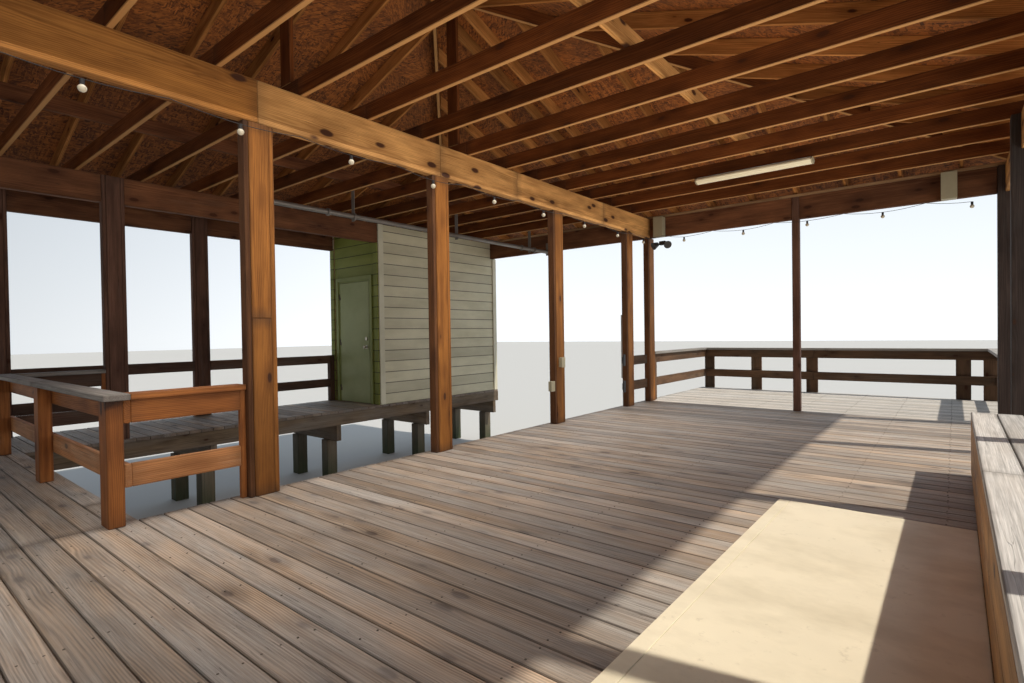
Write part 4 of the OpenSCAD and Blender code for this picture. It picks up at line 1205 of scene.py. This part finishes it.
# %% Strip light and flat boxes
def prism(outline, x0, x1, y, z, finish):
    """An outline of (y, z) points, pulled along X from x0 to x1."""
    form = new_form(bpy.ops.mesh.primitive_circle_add, vertices=len(outline), radius=1,
                    fill_type="NGON")
    for vertex, (across, up) in zip(form.data.vertices, outline):
        vertex.co = (x0, y + across, z + up)
    bpy.ops.object.mode_set(mode="EDIT")
    bpy.ops.mesh.select_all(action="SELECT")
    bpy.ops.mesh.extrude_region_move(TRANSFORM_OT_translate={"value": (x1 - x0, 0, 0)})
    bpy.ops.mesh.select_all(action="SELECT")
    bpy.ops.mesh.normals_make_consistent(inside=False)
    bpy.ops.object.mode_set(mode="OBJECT")
    mesh = copy_of(form, finish, Matrix.Identity(4))
    bpy.data.objects.remove(form)
    return mesh


LIGHT_Y, LIGHT_X0, LIGHT_X1, CAP_T = 2.23, 1.65, 2.894, 0.014
outline = [(-0.034, 0), (0.034, 0), (0.065, -0.0175), (0.068, -0.035), (0.042, -0.062),
           (0, -0.070), (-0.042, -0.062), (-0.068, -0.035), (-0.065, -0.0175)]
slim = [(y * 0.94, -0.004 + z * 0.92) for y, z in outline]
start, end = LIGHT_X0 + CAP_T, LIGHT_X1 - CAP_T
meshes = [prism(outline, LIGHT_X0, start, LIGHT_Y, BEAR_Z, box_shade_plastic),
          prism(slim, start + 0.0002, end - 0.0002, LIGHT_Y, BEAR_Z, cream_plastic),
          prism(outline, end, LIGHT_X1, LIGHT_Y, BEAR_Z, box_shade_plastic),
          box_plank((start, LIGHT_Y - 0.042, BEAR_Z - 0.004),
                    (end, LIGHT_Y + 0.042, BEAR_Z - 0.0002), white_enamel, ease=0.2)]
for x in (0.4075, 4.002):
    meshes += [box_plank((x - 0.073, 3.9005, 3.727), (x + 0.073, 4.022, 4.038), box_shade_plastic),
               box_plank((x - 0.075, 3.892, 3.725), (x + 0.075, 3.9002, 4.04), box_shade_plastic,
                         ease=0.5)]
    for z in (3.742, 4.023):
        for corner in (x - 0.06, x + 0.06):
            meshes.append(box_plank((corner - 0.004, 3.8921, z - 0.004),
                                    (corner + 0.004, 3.8925, z + 0.004), screw_metal, ease=0.02))
assemble("light_and_boxes", meshes, "fitting_plastic", "roof_fittings")

# %% [markdown]
# ## Hoist and grab bars
# The hoist's shaft, wheel and hangers and the enamelled bars keep the shape that they have and
# are only painted. Each bar stands off its post on two round flanges, which are copies of one
# short eased cylinder.

# %% Hoist and grab bars
paint("boat_hoist", zinc_coat)
paint("grab_bars", white_enamel)

flange = new_form(bpy.ops.mesh.primitive_cylinder_add, vertices=20, radius=0.030, depth=0.004)
ease_edges(0.0012)
upright = Matrix.Rotation(math.pi / 2, 4, "Y")
meshes = [copy_of(flange, white_enamel, Matrix.Translation((0.1287, y, z)) @ upright)
          for y, feet in ((3.298, (1.534, 2.476)), (-0.62, (1.864, 2.416))) for z in feet]
bpy.data.objects.remove(flange)
assemble("bar_flanges", meshes, "bar_metal")

# %% [markdown]
# ## String of bulbs
# A string of bulbs is stapled under the centre beam and the far beam. It is tiny, but the eye
# finds it along the dark beams. A bulb is a sphere that narrows towards its socket. The wire
# hangs in a shallow sag from staple to staple with a bulb at the bottom of each, laid as short
# lengths of one thin rod, which at this size look the same as one bent tube.

# %% Bulbs and wire
BULB_R = 0.0235
bulb = new_form(bpy.ops.mesh.primitive_uv_sphere_add, segments=14, ring_count=9, radius=BULB_R)
bpy.ops.object.shade_smooth()
for vertex in bulb.data.vertices:
    if vertex.co.z > 0:
        narrow = 1 - 0.45 * (vertex.co.z / BULB_R) ** 2
        vertex.co.x *= narrow
        vertex.co.y *= narrow
socket = new_form(bpy.ops.mesh.primitive_cylinder_add, vertices=12, radius=0.0125, depth=0.034)
rod = new_form(bpy.ops.mesh.primitive_cylinder_add, vertices=6, radius=0.0028, depth=1.0)


def rod_between(start, end):
    """A length of rod from one point to another."""
    aim = (end - start).to_track_quat("Z", "Y").to_matrix().to_4x4()
    stretch = Matrix.Diagonal((1, 1, (end - start).length, 1))
    return copy_of(rod, black_coat, Matrix.Translation((start + end) / 2) @ aim @ stretch)


def sag(low_point, staple, steps=4):
    """Points of half a hanging span, from its lowest point up to its staple."""
    rise = staple.z - low_point.z
    return [Vector((*low_point.lerp(staple, i / steps).xy, low_point.z + rise * (i / steps) ** 2))
            for i in range(steps + 1)]


BEAM_SIDE, HEADER_SIDE, BULB_Z, STAPLE_Z = 0.232, 4.006, 3.685, 3.727
spots = [(BEAM_SIDE, y) for y in (-4.30, -3.40, -2.52, -1.63, -0.73, 0.15, 1.05, 1.98, 2.90, 3.75)]
spots += [(x, HEADER_SIDE) for x in (0.79, 1.67, 2.50, 3.35, 4.21)]
lows = [Vector((x, y, BULB_Z + lumber_yard.uniform(-0.012, 0.012))) for x, y in spots]
line = [lows[0]]
for here, after in zip(lows, lows[1:]):
    staple = (here + after) / 2
    if here.x == BEAM_SIDE and after.x != BEAM_SIDE:
        staple = Vector((BEAM_SIDE + 0.02, HEADER_SIDE - 0.02, 0))
    staple.z = STAPLE_Z
    line += sag(here, staple)[1:] + sag(after, staple)[-2::-1]
meshes = [copy_of(form, finish, Matrix.Translation(low_point - Vector((0, 0, drop))))
          for low_point in lows
          for form, finish, drop in ((bulb, bulb_glass, 0.052), (socket, black_coat, 0.017))]
lengths = list(zip(line, line[1:]))
meshes += [rod_between(start, end) for start, end in lengths]
print("wire of the bulbs:", round(sum((end - start).length for start, end in lengths), 2), "m")
assemble("bulb_string", meshes, "fitting_plastic")
for used in (bulb, socket, rod):
    bpy.data.objects.remove(used)

# %% [markdown]
# ## Floodlight and small boxes
# A double floodlight points up at the corner of the two beams: two eased cones that stand for
# its heads, aimed apart, on a small block. Boxes with lids sit on two of the posts. Each is two
# plain blocks, one a little wider, because a lid's edge is all that shows of it from the deck.

# %% Floodlight and small boxes
lamp = new_form(bpy.ops.mesh.primitive_cone_add, vertices=20, radius1=0.062, radius2=0.030,
                depth=0.095)
ease_edges(0.003)
meshes = [box_plank((0.40, 3.952, 3.60), (0.50, 4.02, 3.66), black_coat, ease=0.6)]
for side in (-1, 1):
    aim = Vector((-side * 0.6, 0.75, 0.45)).to_track_quat("Z", "Y").to_matrix().to_4x4()
    where = Matrix.Translation((0.45 + side * 0.095, 3.93, 3.60)) @ aim
    meshes.append(copy_of(lamp, black_coat, where))
bpy.data.objects.remove(lamp)
assemble("double_floodlight", meshes, "hoist_metal")

POST_FACE = 0.2203


def post_box(y, half, z0, z1, back, front, finish, ease=1.0):
    """A box on the posts' faces, from back to front in front of them."""
    return box_plank((POST_FACE + back, y - half, z0), (POST_FACE + front, y + half, z1),
                     finish, ease=ease)


meshes = []
for y, z0, z1 in ((1.38, 1.80, 1.92), (1.15, 1.52, 1.64)):
    meshes += [post_box(y, 0.036, z0, z1, 0, 0.046, box_shade_plastic),
               post_box(y, 0.039, z0 - 0.003, z1 + 0.003, 0.0462, 0.050, box_shade_plastic, 0.4)]
for z in (1.81, 1.42):
    meshes += [post_box(3.02, 0.015, z - 0.05, z + 0.05, 0, 0.020, black_coat),
               post_box(3.02, 0.030, z - 0.085, z + 0.085, 0.0202, 0.040, black_coat)]
assemble("post_boxes", meshes, "fitting_plastic")

# %% [markdown]
# ## Finish
# The stock block that every plank was copied from is removed.

# %% Finish
bpy.data.objects.remove(stock)
